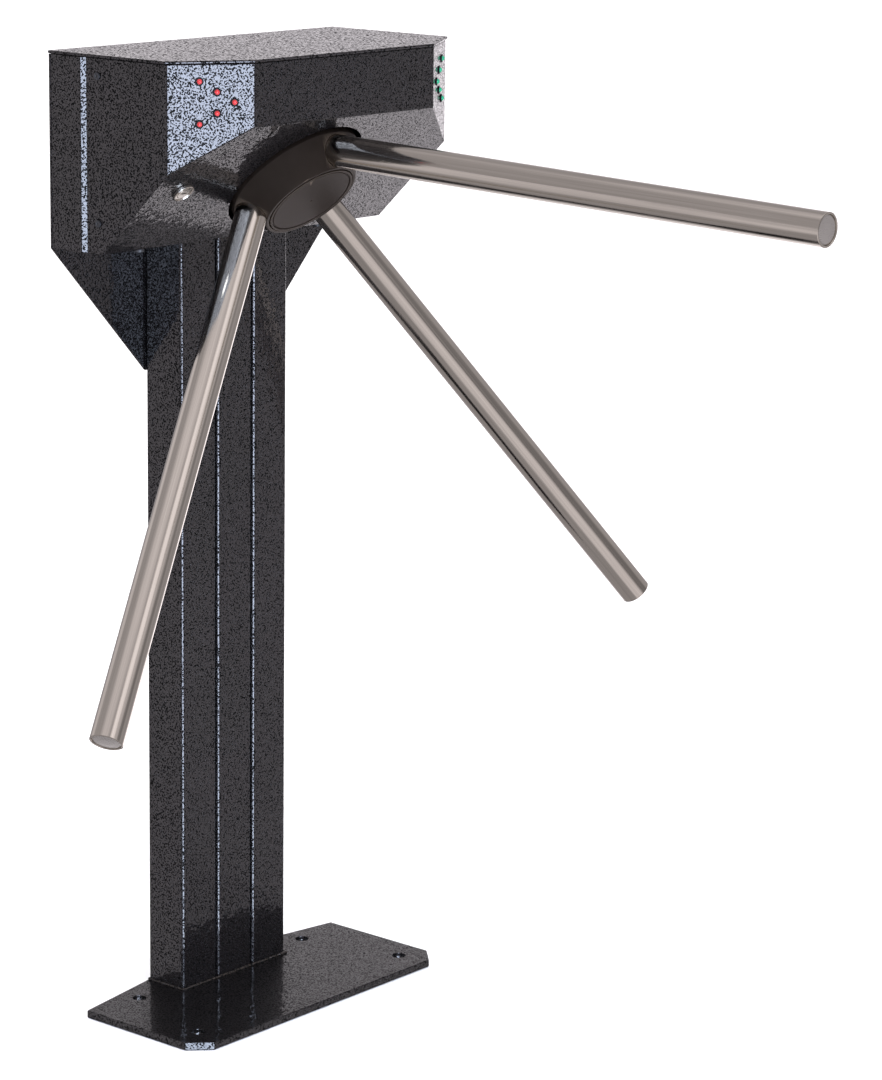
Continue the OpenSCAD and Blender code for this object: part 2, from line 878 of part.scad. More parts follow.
module bearing_housing() {
    color([0.50, 0.51, 0.53]) at_depth(housing_end) difference() {
        union() {
            cylinder(r = housing_r, h = housing_length);
            translate([0, 0, housing_length - housing_flange])
                cylinder(r = housing_flange_r, h = housing_flange);
        }
        translate([0, 0, -cut]) cylinder(r = shoulder_r, h = housing_length + 2 * cut);
        translate([0, 0, -cut]) cylinder(r = bearing_r + fit_gap, h = bearing_w + cut);
        translate([0, 0, housing_length - bearing_w - seat_gap])
            cylinder(r = bearing_r + fit_gap, h = bearing_w + seat_gap + cut);
        for (turn = [45:90:315]) rotate(turn)
            translate([housing_bolt_r, 0, housing_length - housing_flange - cut])
                cylinder(r = m6_r + fit_gap, h = housing_flange + 2 * cut);
    }
}

module bearing_cover() {
    color(zinc) at_depth(housing_end + cover_thick) ring(housing_r, cover_hole_r, cover_thick);
}

// Screws of the bearing housing and of the damper, and nuts of the bridge's pillars
module mechanism_screws() {
    color(zinc) {
        at_depth(mech_front) for (turn = [45:90:315]) rotate(turn) translate([housing_bolt_r, 0, 0])
            socket_screw(mech_plate_thick + housing_flange + free_gap, m6_r, m6_head_r, m6_head / 2);
        at_depth(bridge_at - damper_ear) for (side = [-1, 1])
            translate([side * damper_ear_x, -gear_distance, 0])
                socket_screw(damper_ear + bridge_thick, damper_screw_r,
                             damper_screw_head_r, damper_screw_head);
        at_depth(bridge_top + m6_head) for (x = [-1, 1], u = [-1, 1])
            translate([x * pillar_x, u * pillar_u, 0]) difference() {
                cylinder(r = m6_head_r, h = m6_head, $fn = 6);
                translate([0, 0, -cut]) cylinder(r = pillar_thread_r + fit_gap, h = m6_head + 2 * cut);
            }
    }
}

module at_both_bearings() {
    for (depth = [front_bearing_at, rear_bearing_at]) at_depth(depth + bearing_w) children();
}

module bearing_outer_rings() {
    color(steel) at_both_bearings() rotate_extrude() difference() {
        translate([outer_ring_r, 0]) square([bearing_r - outer_ring_r, bearing_w]);
        translate([ball_pitch_r, bearing_w / 2]) circle(r = ball_r + race_gap);
    }
}

module bearing_balls() {
    color(steel) at_both_bearings() for (i = [0:ball_count - 1])
        rotate(i * 360 / ball_count) translate([ball_pitch_r, 0, bearing_w / 2]) sphere(r = ball_r);
}

module bearing_inner_rings() {
    color(steel) at_both_bearings() rotate_extrude() difference() {
        translate([shaft_r + fit_gap, 0]) square([inner_ring_r - shaft_r - fit_gap, bearing_w]);
        translate([ball_pitch_r, bearing_w / 2]) circle(r = ball_r + race_gap);
    }
}

module bridge_plate() {
    color(zinc) at_depth(bridge_top) difference() {
        translate([-bridge_half, -bridge_down, 0])
            cube([2 * bridge_half, bridge_down + bridge_up, bridge_thick]);
        translate([0, 0, -cut]) cylinder(r = bridge_hole_r, h = bridge_thick + 2 * cut);
        for (x = [-1, 1], u = [-1, 1]) translate([x * pillar_x, u * pillar_u, -cut])
            cylinder(r = pillar_thread_r + fit_gap, h = bridge_thick + 2 * cut);
        translate([0, -gear_distance, -cut])
            cylinder(r = pinion_shaft_r + screw_gap, h = bridge_thick + 2 * cut);
        for (side = [-1, 1]) translate([side * damper_ear_x, -gear_distance, -cut])
            cylinder(r = damper_screw_r + fit_gap, h = bridge_thick + 2 * cut);
        for (side = [-1, 1]) translate([side * pawl_x, pawl_pivot_u, -cut])
            cylinder(r = pawl_pin_r + fit_gap, h = bridge_thick + 2 * cut);
        translate([sensor_post_x, sensor_post_u, -cut])
            cylinder(r = sensor_post_r / 2 + fit_gap, h = bridge_thick + 2 * cut);
    }
}

// Round pillars with a thread at each end
module bridge_pillars() {
    color(steel) for (x = [-1, 1], u = [-1, 1]) at_depth(bridge_top + m6_head)
        translate([x * pillar_x, u * pillar_u, 0]) {
            cylinder(r = pillar_thread_r, h = m6_head + bridge_top - mech_front);
            translate([0, 0, m6_head + bridge_thick]) cylinder(r = pillar_r, h = bridge_at - mech_back);
        }
}

// Damping of the turning arms

module damper_body() {
    color(dark_plastic) at_depth(bridge_at) translate([0, -gear_distance, 0]) difference() {
        union() {
            cylinder(r = damper_r, h = damper_length);
            for (side = [-1, 1]) {
                translate([side * damper_ear_x, 0, 0]) cylinder(r = damper_ear_r, h = damper_ear);
                translate([side * damper_ear_x / 2, 0, damper_ear / 2])
                    cube([damper_ear_x, 2 * damper_ear_r, damper_ear], center = true);
            }
        }
        translate([0, 0, -cut]) cylinder(r = pinion_shaft_r + fit_gap, h = damper_length / 2 + cut);
        for (side = [-1, 1]) translate([side * damper_ear_x, 0, -cut])
            cylinder(r = damper_screw_r + fit_gap, h = damper_ear + 2 * cut);
    }
}

module damper_pinion() {
    color(brass) at_depth(gear_at + gear_thick) translate([0, -gear_distance, 0]) {
        rotate(90 + 180 / pinion_teeth) linear_extrude(gear_thick) gear_outline(pinion_teeth);
        cylinder(r = pinion_shaft_r, h = gear_at + gear_thick - bridge_at + damper_length / 3);
    }
}

// Pawls that lock the hub, with their solenoids

// A left-hand piece, or its mirror image on the right
module on_side(side) {
    mirror([side > 0 ? 1 : 0, 0, 0]) children();
}

module pawl_pins() {
    color(steel) for (side = [-1, 1]) on_side(side)
        at_depth(pawl_at + pawl_thick + pawl_head + seat_gap) translate([-pawl_x, pawl_pivot_u, 0]) {
            cylinder(r = pawl_head_r, h = pawl_head);
            cylinder(r = pawl_pin_r, h = pawl_at + pawl_thick + pawl_head + seat_gap - bridge_at);
            translate([0, 0, pawl_head + pawl_thick + 2 * seat_gap])
                cylinder(r = pawl_pin_collar_r, h = pawl_at - bridge_top - seat_gap);
        }
}

module pawl(side) {
    color([0.42, 0.43, 0.46]) on_side(side) at_depth(pawl_at + pawl_thick) difference() {
        linear_extrude(pawl_thick) {
            translate([-pawl_x, pawl_pivot_u]) circle(r = pawl_boss_r);
            translate([-pawl_x - pawl_w / 2, pawl_pivot_u])
                square([pawl_w, drive_u + pawl_top - pawl_pivot_u]);
            translate([-pawl_x, -pawl_nose_w / 2]) square([pawl_x - pawl_nose_x, pawl_nose_w]);
        }
        translate([-pawl_x, pawl_pivot_u, -cut])
            cylinder(r = pawl_pin_r + fit_gap, h = pawl_thick + 2 * cut);
        for (end = [-1, 1]) translate([-pawl_x, drive_u + end * drive_slot_extra, -cut])
            cylinder(r = drive_pin_r + 2 * fit_gap, h = pawl_thick + 2 * cut);
        translate([-pawl_x, drive_u, pawl_thick / 2])
            cube([2 * drive_pin_r + 4 * fit_gap, 2 * drive_slot_extra, pawl_thick + 2 * cut],
                 center = true);
    }
}

// Solenoid body with its foot on the bridge plate
module solenoid(side) {
    color([0.25, 0.26, 0.30]) on_side(side) at_depth(plunger_axis_at) difference() {
        union() {
            translate([-solenoid_far_x, drive_u - solenoid_h / 2, -solenoid_depth / 2])
                cube([solenoid_far_x - solenoid_near_x, solenoid_h, solenoid_depth]);
            translate([-solenoid_far_x, drive_u - solenoid_h / 2, 0])
                cube([solenoid_far_x - solenoid_near_x, solenoid_h / 2, plunger_axis_at - bridge_top]);
        }
        translate([-solenoid_bore_end_x, drive_u, 0]) rotate([0, 90, 0])
            cylinder(r = plunger_r + 2 * fit_gap, h = solenoid_bore_end_x - solenoid_near_x + cut);
    }
}

// Plunger with a forked end and the pin that drives the pawl
module plunger(side) {
    fork_l = plunger_neck_x - plunger_fork_x;
    color(steel) on_side(side) at_depth(plunger_axis_at) translate([0, drive_u, 0]) {
        translate([-plunger_tail_x, 0, 0]) rotate([0, 90, 0])
            cylinder(r = plunger_r, h = plunger_tail_x - plunger_neck_x);
        difference() {
            translate([-plunger_neck_x, -plunger_fork_h / 2, -plunger_fork_w / 2])
                cube([fork_l, plunger_fork_h, plunger_fork_w]);
            translate([-plunger_neck_x + free_gap, -plunger_fork_h, -pawl_thick / 2 - seat_gap])
                cube([fork_l, 2 * plunger_fork_h, pawl_thick + 2 * seat_gap]);
        }
        translate([-pawl_x, 0, -plunger_fork_w / 2]) cylinder(r = drive_pin_r, h = plunger_fork_w);
    }
}

// Sensor that reads the encoder disc

module sensor_bracket() {
    post_top = sensor_arm_at + sensor_arm_thick;
    color(zinc) at_depth(post_top) {
        translate([sensor_post_x, sensor_post_u, 0]) {
            cylinder(r = sensor_post_r, h = post_top - bridge_top);
            cylinder(r = sensor_post_r / 2, h = post_top - bridge_at);
        }
        translate([sensor_post_x - sensor_post_r, sensor_post_u, 0])
            cube([2 * sensor_post_r, sensor_h / 2 - sensor_post_u, sensor_arm_thick]);
    }
}

module position_sensor() {
    color(dark_plastic) at_depth(sensor_arm_at) difference() {
        translate([sensor_x - sensor_w / 2, -sensor_h / 2, 0])
            cube([sensor_w, sensor_h, 2 * (sensor_arm_at - encoder_at) - encoder_thick]);
        translate([sensor_x - sensor_w / 2 - cut, -sensor_h / 2 - cut,
                   sensor_arm_at - encoder_at - encoder_thick / 2 - sensor_slot / 2])
            cube([sensor_slot_depth + cut, sensor_h + 2 * cut, sensor_slot]);
    }
}

// Control board on the back panel

module on_board() {
    translate([0, column_back - board_stand, head_top + board_low]) rotate([90, 0, 0]) children();
}

module control_board() {
    color(board_green) on_board() difference() {
        translate([-board_half, 0, 0]) cube([2 * board_half, board_h, board_thick]);
        for (x = [-1, 1], y = [standoff_inset, board_h - standoff_inset])
            translate([x * (board_half - standoff_inset), y, -cut])
                cylinder(r = standoff_r / 2 + fit_gap, h = board_thick + 2 * cut);
    }
}

// Terminal blocks, relays, a processor and capacitors
module board_parts() {
    color(dark_plastic) on_board() translate([0, 0, board_thick]) {
        for (i = [0:3])
            translate([-board_half + 2 * part_edge + i * (terminal_l + part_edge), part_edge / 2, 0])
                cube([terminal_l, terminal_w, terminal_h]);
        for (i = [0:1])
            translate([-board_half + 2 * part_edge + i * (relay_l + part_edge),
                       board_h - part_edge - relay_w, 0])
                cube([relay_l, relay_w, relay_h]);
        translate([chip_size / 2, board_h / 2 - part_edge / 2, 0])
            cube([chip_size, chip_size, chip_h]);
        for (i = [0:1]) translate([board_half - 3 * part_edge, board_h / 2 + i * 2 * part_edge, 0])
            cylinder(r = capacitor_r, h = capacitor_h);
    }
}

module board_standoffs() {
    color(brass) on_board() for (x = [-1, 1], y = [standoff_inset, board_h - standoff_inset])
        translate([x * (board_half - standoff_inset), y, 0]) {
            translate([0, 0, -board_stand]) cylinder(r = standoff_r, h = board_stand);
            cylinder(r = standoff_r / 2, h = board_thick + standoff_nut);
            translate([0, 0, board_thick]) cylinder(r = standoff_r, h = standoff_nut);
        }
}

module cable_grommet() {
    grommet_r = cable_hole_d / 2 - fit_gap;
    color(dark_plastic) {
        ring(grommet_r, grommet_r - grommet_wall, plate_thick);
        translate([0, 0, plate_thick]) ring(grommet_r + free_gap, grommet_r - grommet_wall, grommet_lip);
    }
}

// Hub, arms and what turns with them

module hub_cone() {
    color(bronze_brown) difference() {
        on_hub_axis() rotate_extrude() polygon([
            [0, -hub_back],
            [hub_rim_r, -hub_back],
            [hub_rim_r, hub_rim_height],
            [hub_face_r, hub_face],
            [0, hub_face]
        ]);
        on_hub_axis() {
            translate([0, 0, hub_face - cap_recess]) cylinder(r = cap_recess_r, h = cap_recess + cut);
            translate([0, 0, -hub_back + hub_wall]) cylinder(r = hub_cavity_r, h = hub_back + hub_face);
            for (i = [0:hub_bolt_count - 1]) rotate(hub_bolt_turn + i * 120)
                translate([hub_bolt_pitch_r, 0, -hub_back - cut])
                    cylinder(r = m6_r + fit_gap, h = hub_wall + 2 * cut);
        }
        // The arm bolts go in from the back, before the hub is put on its shaft
        for (number = [0:2]) along_arm(number) {
            translate([0, 0, arm_socket_start]) cylinder(r = arm_r + socket_gap, h = arm_reach);
            cylinder(r = bolt_spot_r, h = bolt_seat_at);
            cylinder(d = arm_bolt_d + 2 * fit_gap, h = arm_socket_start + cut);
        }
    }
}

module hub_cap() {
    color(bronze_brown) on_hub_axis() translate([0, 0, hub_face - cap_recess]) {
        difference() {
            translate([0, 0, seat_gap]) cylinder(r = cap_recess_r - cap_gap, h = cap_thick);
            translate([0, 0, seat_gap + cap_thick - cap_mark]) cylinder(r = cap_mark_r, h = cap_mark + cut);
        }
        translate([0, 0, -cap_spigot])
            ring(cap_spigot_r, cap_spigot_r - cap_spigot_wall, cap_spigot + seat_gap);
    }
}

// Screws that hold the hub on the shaft's flange, and one bolt in the root of each arm
module rotor_bolts() {
    color(zinc) {
        at_depth(hub_back - hub_wall) for (i = [0:hub_bolt_count - 1])
            rotate(hub_bolt_turn + i * 120) translate([hub_bolt_pitch_r, 0, 0])
                socket_screw(hub_wall + flange_thick, m6_r, m6_head_r, m6_head);
        for (number = [0:2]) along_arm(number) translate([0, 0, bolt_seat_at]) mirror([0, 0, 1])
            socket_screw(arm_socket_start - bolt_seat_at + plug_length - free_gap, arm_bolt_d / 2,
                         bolt_head_r, bolt_head);
    }
}

// Tube with a small chamfer round its outer end
module arm(number) {
    color(steel) along_arm(number) rotate_extrude() polygon([
        [arm_r - arm_wall, arm_socket_start + seat_gap],
        [arm_r, arm_socket_start + seat_gap],
        [arm_r, arm_reach - arm_edge],
        [arm_r - arm_edge, arm_reach],
        [arm_r - arm_wall, arm_reach]
    ]);
}

module arm_end_caps() {
    color(steel) for (number = [0:2]) along_arm(number)
        translate([0, 0, arm_reach - end_cap_sink - end_cap_length])
            cylinder(r = arm_r - arm_wall - plug_gap, h = end_cap_length);
}

module arm_plugs() {
    color(zinc) for (number = [0:2]) along_arm(number) translate([0, 0, arm_socket_start + seat_gap])
        ring(arm_r - arm_wall - plug_gap, arm_bolt_d / 2 + fit_gap, plug_length);
}

module rotor_shaft() {
    color(steel) difference() {
        union() {
            at_depth(hub_back + flange_thick) cylinder(r = flange_r, h = flange_thick);
            at_depth(front_bearing_at) cylinder(r = collar_r, h = front_bearing_at - hub_back);
            at_depth(shaft_end) cylinder(r = shaft_r, h = shaft_end - hub_back);
        }
        at_depth(hub_back + flange_thick + cut) for (i = [0:hub_bolt_count - 1])
            rotate(hub_bolt_turn + i * 120) translate([hub_bolt_pitch_r, 0, 0])
                cylinder(r = m6_r + fit_gap, h = flange_thick + 2 * cut);
        at_depth(index_at + index_thick) translate([-key_w / 2, shaft_r - key_sink, 0])
            cube([key_w, key_sink + cut, key_length]);
    }
}

module shaft_key() {
    color(steel) at_depth(index_at + index_thick)
        translate([-key_w / 2 + fit_gap, shaft_r - key_sink + fit_gap, fit_gap])
            cube([key_w - 2 * fit_gap, key_sink + key_stand - 2 * fit_gap, key_length - 2 * fit_gap]);
}

// Keyway in a piece on the shaft
module keyway(height) {
    translate([-key_w / 2, 0, -cut]) cube([key_w, shaft_r + key_stand, height + 2 * cut]);
}

module shaft_spacers() {
    color(zinc) {
        at_depth(rear_bearing_at)
            ring(inner_ring_r, shaft_r + fit_gap, rear_bearing_at - front_bearing_at - bearing_w);
        at_depth(gear_at) ring(inner_ring_r, shaft_r + fit_gap, rear_collar);
    }
}

module drive_gear() {
    color(brass) at_depth(index_at) difference() {
        union() {
            translate([0, 0, gear_boss]) rotate(-90) linear_extrude(gear_thick) gear_outline(gear_teeth);
            cylinder(r = gear_boss_r, h = gear_boss + gear_thick);
        }
        translate([0, 0, -cut]) cylinder(r = shaft_r + fit_gap, h = gear_boss + gear_thick + 2 * cut);
        keyway(gear_boss + gear_thick);
    }
}

module index_disc() {
    color(steel) at_depth(index_at + index_thick) difference() {
        cylinder(r = index_r, h = index_thick);
        for (i = [0:notch_count - 1]) rotate(i * 360 / notch_count)
            translate([index_r - notch_depth, -notch_w / 2, -cut])
                cube([notch_depth + cut, notch_w, index_thick + 2 * cut]);
        translate([0, 0, -cut]) cylinder(r = shaft_r + fit_gap, h = index_thick + 2 * cut);
        keyway(index_thick);
    }
}

module encoder_disc() {
    color(dark_plastic) at_depth(encoder_at + encoder_thick) difference() {
        union() {
            cylinder(r = encoder_r, h = encoder_thick);
            cylinder(r = encoder_boss_r, h = encoder_thick + encoder_boss);
        }
        for (i = [0:window_count - 1]) rotate(i * 360 / window_count)
            translate([encoder_r - window_inset - window_h, -window_w / 2, -cut])
                cube([window_h, window_w, encoder_thick + 2 * cut]);
        translate([0, 0, -cut]) cylinder(r = shaft_r + fit_gap, h = encoder_thick + encoder_boss + 2 * cut);
    }
}

module shaft_nut() {
    color(zinc) at_depth(nut_at + nut_thick) difference() {
        ring(nut_r, shaft_r + fit_gap, nut_thick);
        for (i = [0:nut_slots - 1]) rotate(i * 360 / nut_slots)
            translate([nut_r - nut_slot_depth, -nut_slot_w / 2, -cut])
                cube([nut_slot_depth + cut, nut_slot_w, nut_thick + 2 * cut]);
    }
}

base_plate();
column_tube(-1);  // column_tube_left
column_tube(0);  // column_tube_middle
column_tube(1);  // column_tube_right
welds();
head_plate();
back_panel();
rear_chassis();
front_hood();
hood_screws();
lid();
lock_housing();
lock_plug();
lock_cam();
led_boards();
red_leds();
green_leds();
led_bezels();
bracket(-1);  // bracket_left
bracket(1);  // bracket_right
frame_screws();
mechanism_plate();
bearing_housing();
bearing_cover();
mechanism_screws();
bearing_outer_rings();
bearing_balls();
bearing_inner_rings();
bridge_plate();
bridge_pillars();
damper_body();
damper_pinion();
pawl_pins();
pawl(-1);  // pawl_left
pawl(1);  // pawl_right
solenoid(-1);  // solenoid_left
solenoid(1);  // solenoid_right
plunger(-1);  // plunger_left
plunger(1);  // plunger_right
sensor_bracket();
position_sensor();
control_board();
board_parts();
board_standoffs();
cable_grommet();
hub_cone();
hub_cap();
rotor_bolts();
arm(0);  // arm_1
arm(1);  // arm_2
arm(2);  // arm_3
arm_end_caps();
arm_plugs();
rotor_shaft();
shaft_key();
shaft_spacers();
drive_gear();
index_disc();
encoder_disc();
shaft_nut();
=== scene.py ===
import json
import math

import bmesh
import bpy
import numpy as np
from mathutils import Matrix, Vector

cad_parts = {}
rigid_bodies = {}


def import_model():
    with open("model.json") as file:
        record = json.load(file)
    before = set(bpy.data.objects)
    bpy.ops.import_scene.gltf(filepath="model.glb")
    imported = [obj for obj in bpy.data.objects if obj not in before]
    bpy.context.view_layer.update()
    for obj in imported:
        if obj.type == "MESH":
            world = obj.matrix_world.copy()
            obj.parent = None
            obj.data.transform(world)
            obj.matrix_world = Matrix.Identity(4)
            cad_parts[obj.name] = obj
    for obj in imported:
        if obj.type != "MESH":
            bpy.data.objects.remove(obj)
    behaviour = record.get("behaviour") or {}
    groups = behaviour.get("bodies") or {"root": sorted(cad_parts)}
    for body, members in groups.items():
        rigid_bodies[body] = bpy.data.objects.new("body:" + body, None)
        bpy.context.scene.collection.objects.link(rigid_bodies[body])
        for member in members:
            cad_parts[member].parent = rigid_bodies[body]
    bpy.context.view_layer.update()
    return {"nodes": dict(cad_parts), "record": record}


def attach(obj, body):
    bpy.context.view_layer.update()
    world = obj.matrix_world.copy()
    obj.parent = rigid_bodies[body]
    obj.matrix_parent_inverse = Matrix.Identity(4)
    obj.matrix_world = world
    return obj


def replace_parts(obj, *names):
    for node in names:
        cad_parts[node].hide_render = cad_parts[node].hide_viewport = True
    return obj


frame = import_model()
NODES = frame["nodes"]
SLOT_OF = {part["node"]: part["material_slot"] for part in frame["record"]["subparts"]}
BODY_OF = {node: obj.parent.name.split(":")[1] for node, obj in NODES.items()}
scene = bpy.context.scene

# Lengths are in metres. These repeat values of the construction, under its names.
HUB_TILT, ARM_SPLAY = math.radians(46), math.radians(44)
BOX_BOTTOM, HOOD_FRONT, HOOD_HALF, PANEL_RISE = 0.789, 0.173, 0.202, 0.128
CHASSIS_STEP, CHASSIS_REACH = 0.0025, 0.015
CORNER_CUT_LENGTH, CORNER_CUT_DEPTH = 0.072, 0.045
HUB_RIM_R, HUB_FACE_R, HUB_CAVITY_R, HUB_BACK, HUB_FACE = 0.0715, 0.051, 0.024, 0.032, 0.030
CAP_RECESS_R, CAP_RECESS = 0.0476, 0.003
ARM_APEX_DEPTH, ARM_SOCKET_START, ARM_REACH = 0.0465, 0.058, 0.662
END_CAP_LENGTH, END_CAP_SINK = 0.016, 0.0006
TUBE_SIZE, TUBE_GAP, PLATE_THICK = 0.050, 0.0025, 0.008
LOCK_OFFSET = 0.160

# The hub's middle lies in the slanted panel, OUT leaves the panel, and the arms' axes meet at APEX
HUB_MID = Vector((0.0, -HOOD_FRONT + PANEL_RISE / 2 * math.tan(HUB_TILT), BOX_BOTTOM + PANEL_RISE / 2))
OUT = Vector((0.0, -math.cos(HUB_TILT), -math.sin(HUB_TILT)))
UP_PANEL = Vector((0.0, -math.sin(HUB_TILT), math.cos(HUB_TILT)))
APEX = HUB_MID - OUT * ARM_APEX_DEPTH
ARM_COUNT = 3
SIDES = ((-1, "left"), (1, "right"))


def arm_direction(i):
    """Direction of arm i, counted from 0."""
    turn = Matrix.Rotation(math.radians(360.0 / ARM_COUNT * i), 3, OUT)
    return (turn @ (OUT * math.cos(ARM_SPLAY) + UP_PANEL * math.sin(ARM_SPLAY))).normalized()


# Camera, solved from corner points of the photograph
AZIMUTH, ELEVATION, ROLL = math.radians(-50.08), math.radians(12.90), math.radians(0.78)
CAMERA_AT = Vector((-2.6077, -2.4816, 1.2952))
SENSOR = 36.0
FOCAL_PIXELS, PHOTO_HEIGHT_PIXELS = 3588.5, 1080.0
CLIP_NEAR, CLIP_FAR = 0.05, 100.0


def add_camera():
    back = Vector((math.sin(AZIMUTH) * math.cos(ELEVATION),
                   -math.cos(AZIMUTH) * math.cos(ELEVATION),
                   math.sin(ELEVATION)))
    level = Vector((math.cos(AZIMUTH), math.sin(AZIMUTH), 0.0))
    upright = back.cross(level)
    right = level * math.cos(ROLL) + upright * math.sin(ROLL)
    up = upright * math.cos(ROLL) - level * math.sin(ROLL)
    data = bpy.data.cameras.new("camera")
    camera = bpy.data.objects.new("camera", data)
    scene.collection.objects.link(camera)
    camera.matrix_world = Matrix((
        (right.x, up.x, back.x, CAMERA_AT.x),
        (right.y, up.y, back.y, CAMERA_AT.y),
        (right.z, up.z, back.z, CAMERA_AT.z),
        (0, 0, 0, 1)))
    data.sensor_width = SENSOR
    data.lens = SENSOR * FOCAL_PIXELS / PHOTO_HEIGHT_PIXELS
    data.clip_start = CLIP_NEAR
    data.clip_end = CLIP_FAR
    data.dof.use_dof = False
    scene.camera = camera


# Node trees
class Tree:
    """A short way to build a node tree."""

    # Sockets of a mix node that mixes colours: the share, the two colours and the outcome
    SHARE, FIRST, SECOND, MIXED = 0, 6, 7, 2
    # The range that most values of a noise lie in
    NOISE_LOW, NOISE_HIGH = 0.3, 0.7

    def __init__(self, tree):
        self.nodes = tree.nodes
        self.links = tree.links

    def add(self, kind, **settings):
        node = self.nodes.new(kind)
        for key, value in settings.items():
            setattr(node, key, value)
        return node

    def put(self, socket, value):
        if isinstance(value, bpy.types.NodeSocket):
            self.links.new(value, socket)
        else:
            socket.default_value = value

    def feed(self, node, values):
        """Links or sets inputs of a node, each found by its name or number."""
        for key, value in values.items():
            self.put(node.inputs[key], value)
        return node

    def space(self, kind):
        return self.add("ShaderNodeTexCoord").outputs[kind]

    def calc(self, operation, a, b):
        node = self.add("ShaderNodeMath", operation=operation)
        return self.feed(node, {0: a, 1: b}).outputs[0]

    def vector(self, operation, a, b):
        node = self.add("ShaderNodeVectorMath", operation=operation)
        second = "Scale" if operation == "SCALE" else 1
        outcome = "Value" if operation == "DOT_PRODUCT" else "Vector"
        return self.feed(node, {0: a, second: b}).outputs[outcome]

    def turned(self, vector, angles):
        node = self.add("ShaderNodeVectorRotate", rotation_type="EULER_XYZ")
        return self.feed(node, {"Vector": vector, "Rotation": angles}).outputs[0]

    def noise(self, vector, scale, detail=2.0, rough=0.5):
        node = self.add("ShaderNodeTexNoise")
        values = {"Vector": vector, "Scale": scale, "Detail": detail, "Roughness": rough}
        return self.feed(node, values).outputs[0]

    def stretched_noise(self, vector, stretch, detail, rough):
        """Noise with its own scale along each axis."""
        return self.noise(self.vector("MULTIPLY", vector, stretch), 1.0, detail, rough)

    def ramp(self, value, low, high, to_low=0.0, to_high=1.0, smooth=False):
        """Brings the range from low to high to another one, and keeps inside that."""
        node = self.add("ShaderNodeMapRange", clamp=True,
                        interpolation_type="SMOOTHSTEP" if smooth else "LINEAR")
        values = {"Value": value, "From Min": low, "From Max": high, "To Min": to_low, "To Max": to_high}
        return self.feed(node, values).outputs["Result"]

    def spread(self, noise, to_low=0.0, to_high=1.0):
        """Brings the usual range of a noise to another one."""
        return self.ramp(noise, self.NOISE_LOW, self.NOISE_HIGH, to_low, to_high)

    def between(self, share, a, b):
        """The number a where the share is 0, and b where it is 1."""
        return self.ramp(share, 0.0, 1.0, a, b)

    def blend(self, a, b, share):
        """The share of a, and the rest of b."""
        return self.calc("ADD", self.calc("MULTIPLY", a, share), self.calc("MULTIPLY", b, 1.0 - share))

    def mix(self, share, a, b):
        """The colour a where the share is 0, and b where it is 1."""
        node = self.add("ShaderNodeMix", data_type="RGBA")
        return self.feed(node, {self.SHARE: share, self.FIRST: a, self.SECOND: b}).outputs[self.MIXED]

    def bump(self, height, distance, strength, under=None):
        values = {"Strength": strength, "Distance": distance, "Height": height}
        if under is not None:
            values["Normal"] = under
        return self.feed(self.add("ShaderNodeBump"), values).outputs["Normal"]


def rgb(red, green, blue):
    return (red, green, blue, 1.0)


def lifted(colour, factor, offset=0.0):
    """A colour made lighter channel by channel."""
    return tuple(min(1.0, channel * factor + offset) for channel in colour)


def new_material(name):
    """An empty material, its tree and its shader."""
    material = bpy.data.materials.new(name)
    material.use_nodes = True
    tree = Tree(material.node_tree)
    shader = next(node for node in tree.nodes if node.type == "BSDF_PRINCIPLED")
    return material, tree, shader


# Materials. The scale of a noise counts its cells per metre.
PAINT_LIGHT, PAINT_DARK = (0.0195, 0.0154, 0.0180), (0.0130, 0.0104, 0.0124)
# The pits' near-black is partly the dark base and partly painted shade in the dimples.
PIT_SHADE_BLACK, FLAKE_AND_GLINT_GREY = rgb(0.001, 0.001, 0.001), rgb(0.085, 0.085, 0.10)
GRID_TURN = (0.61, 0.47, 0.83)
FINE_SHIFT, FLECK_SHIFT = (3.1, 1.7, 2.3), (5.3, 4.9, 6.1)
WIDE_GRAIN, FINE_GRAIN, FLECK_GRAIN, DRIFT_GRAIN, PEEL_GRAIN = 600.0, 1000.0, 1250.0, 12.0, 120.0
WIDE_SHARE, FLECK_SHARE = 0.62, 0.6
GROOVE_RANGE, PIT_RANGE, FLECK_RANGE, DRIFT_RANGE = (0.410, 0.480), (0.450, 0.468), (0.63, 0.70), (0.35, 0.65)
PIT_DEPTH, PEEL_DEPTH = 0.0004, 0.0008


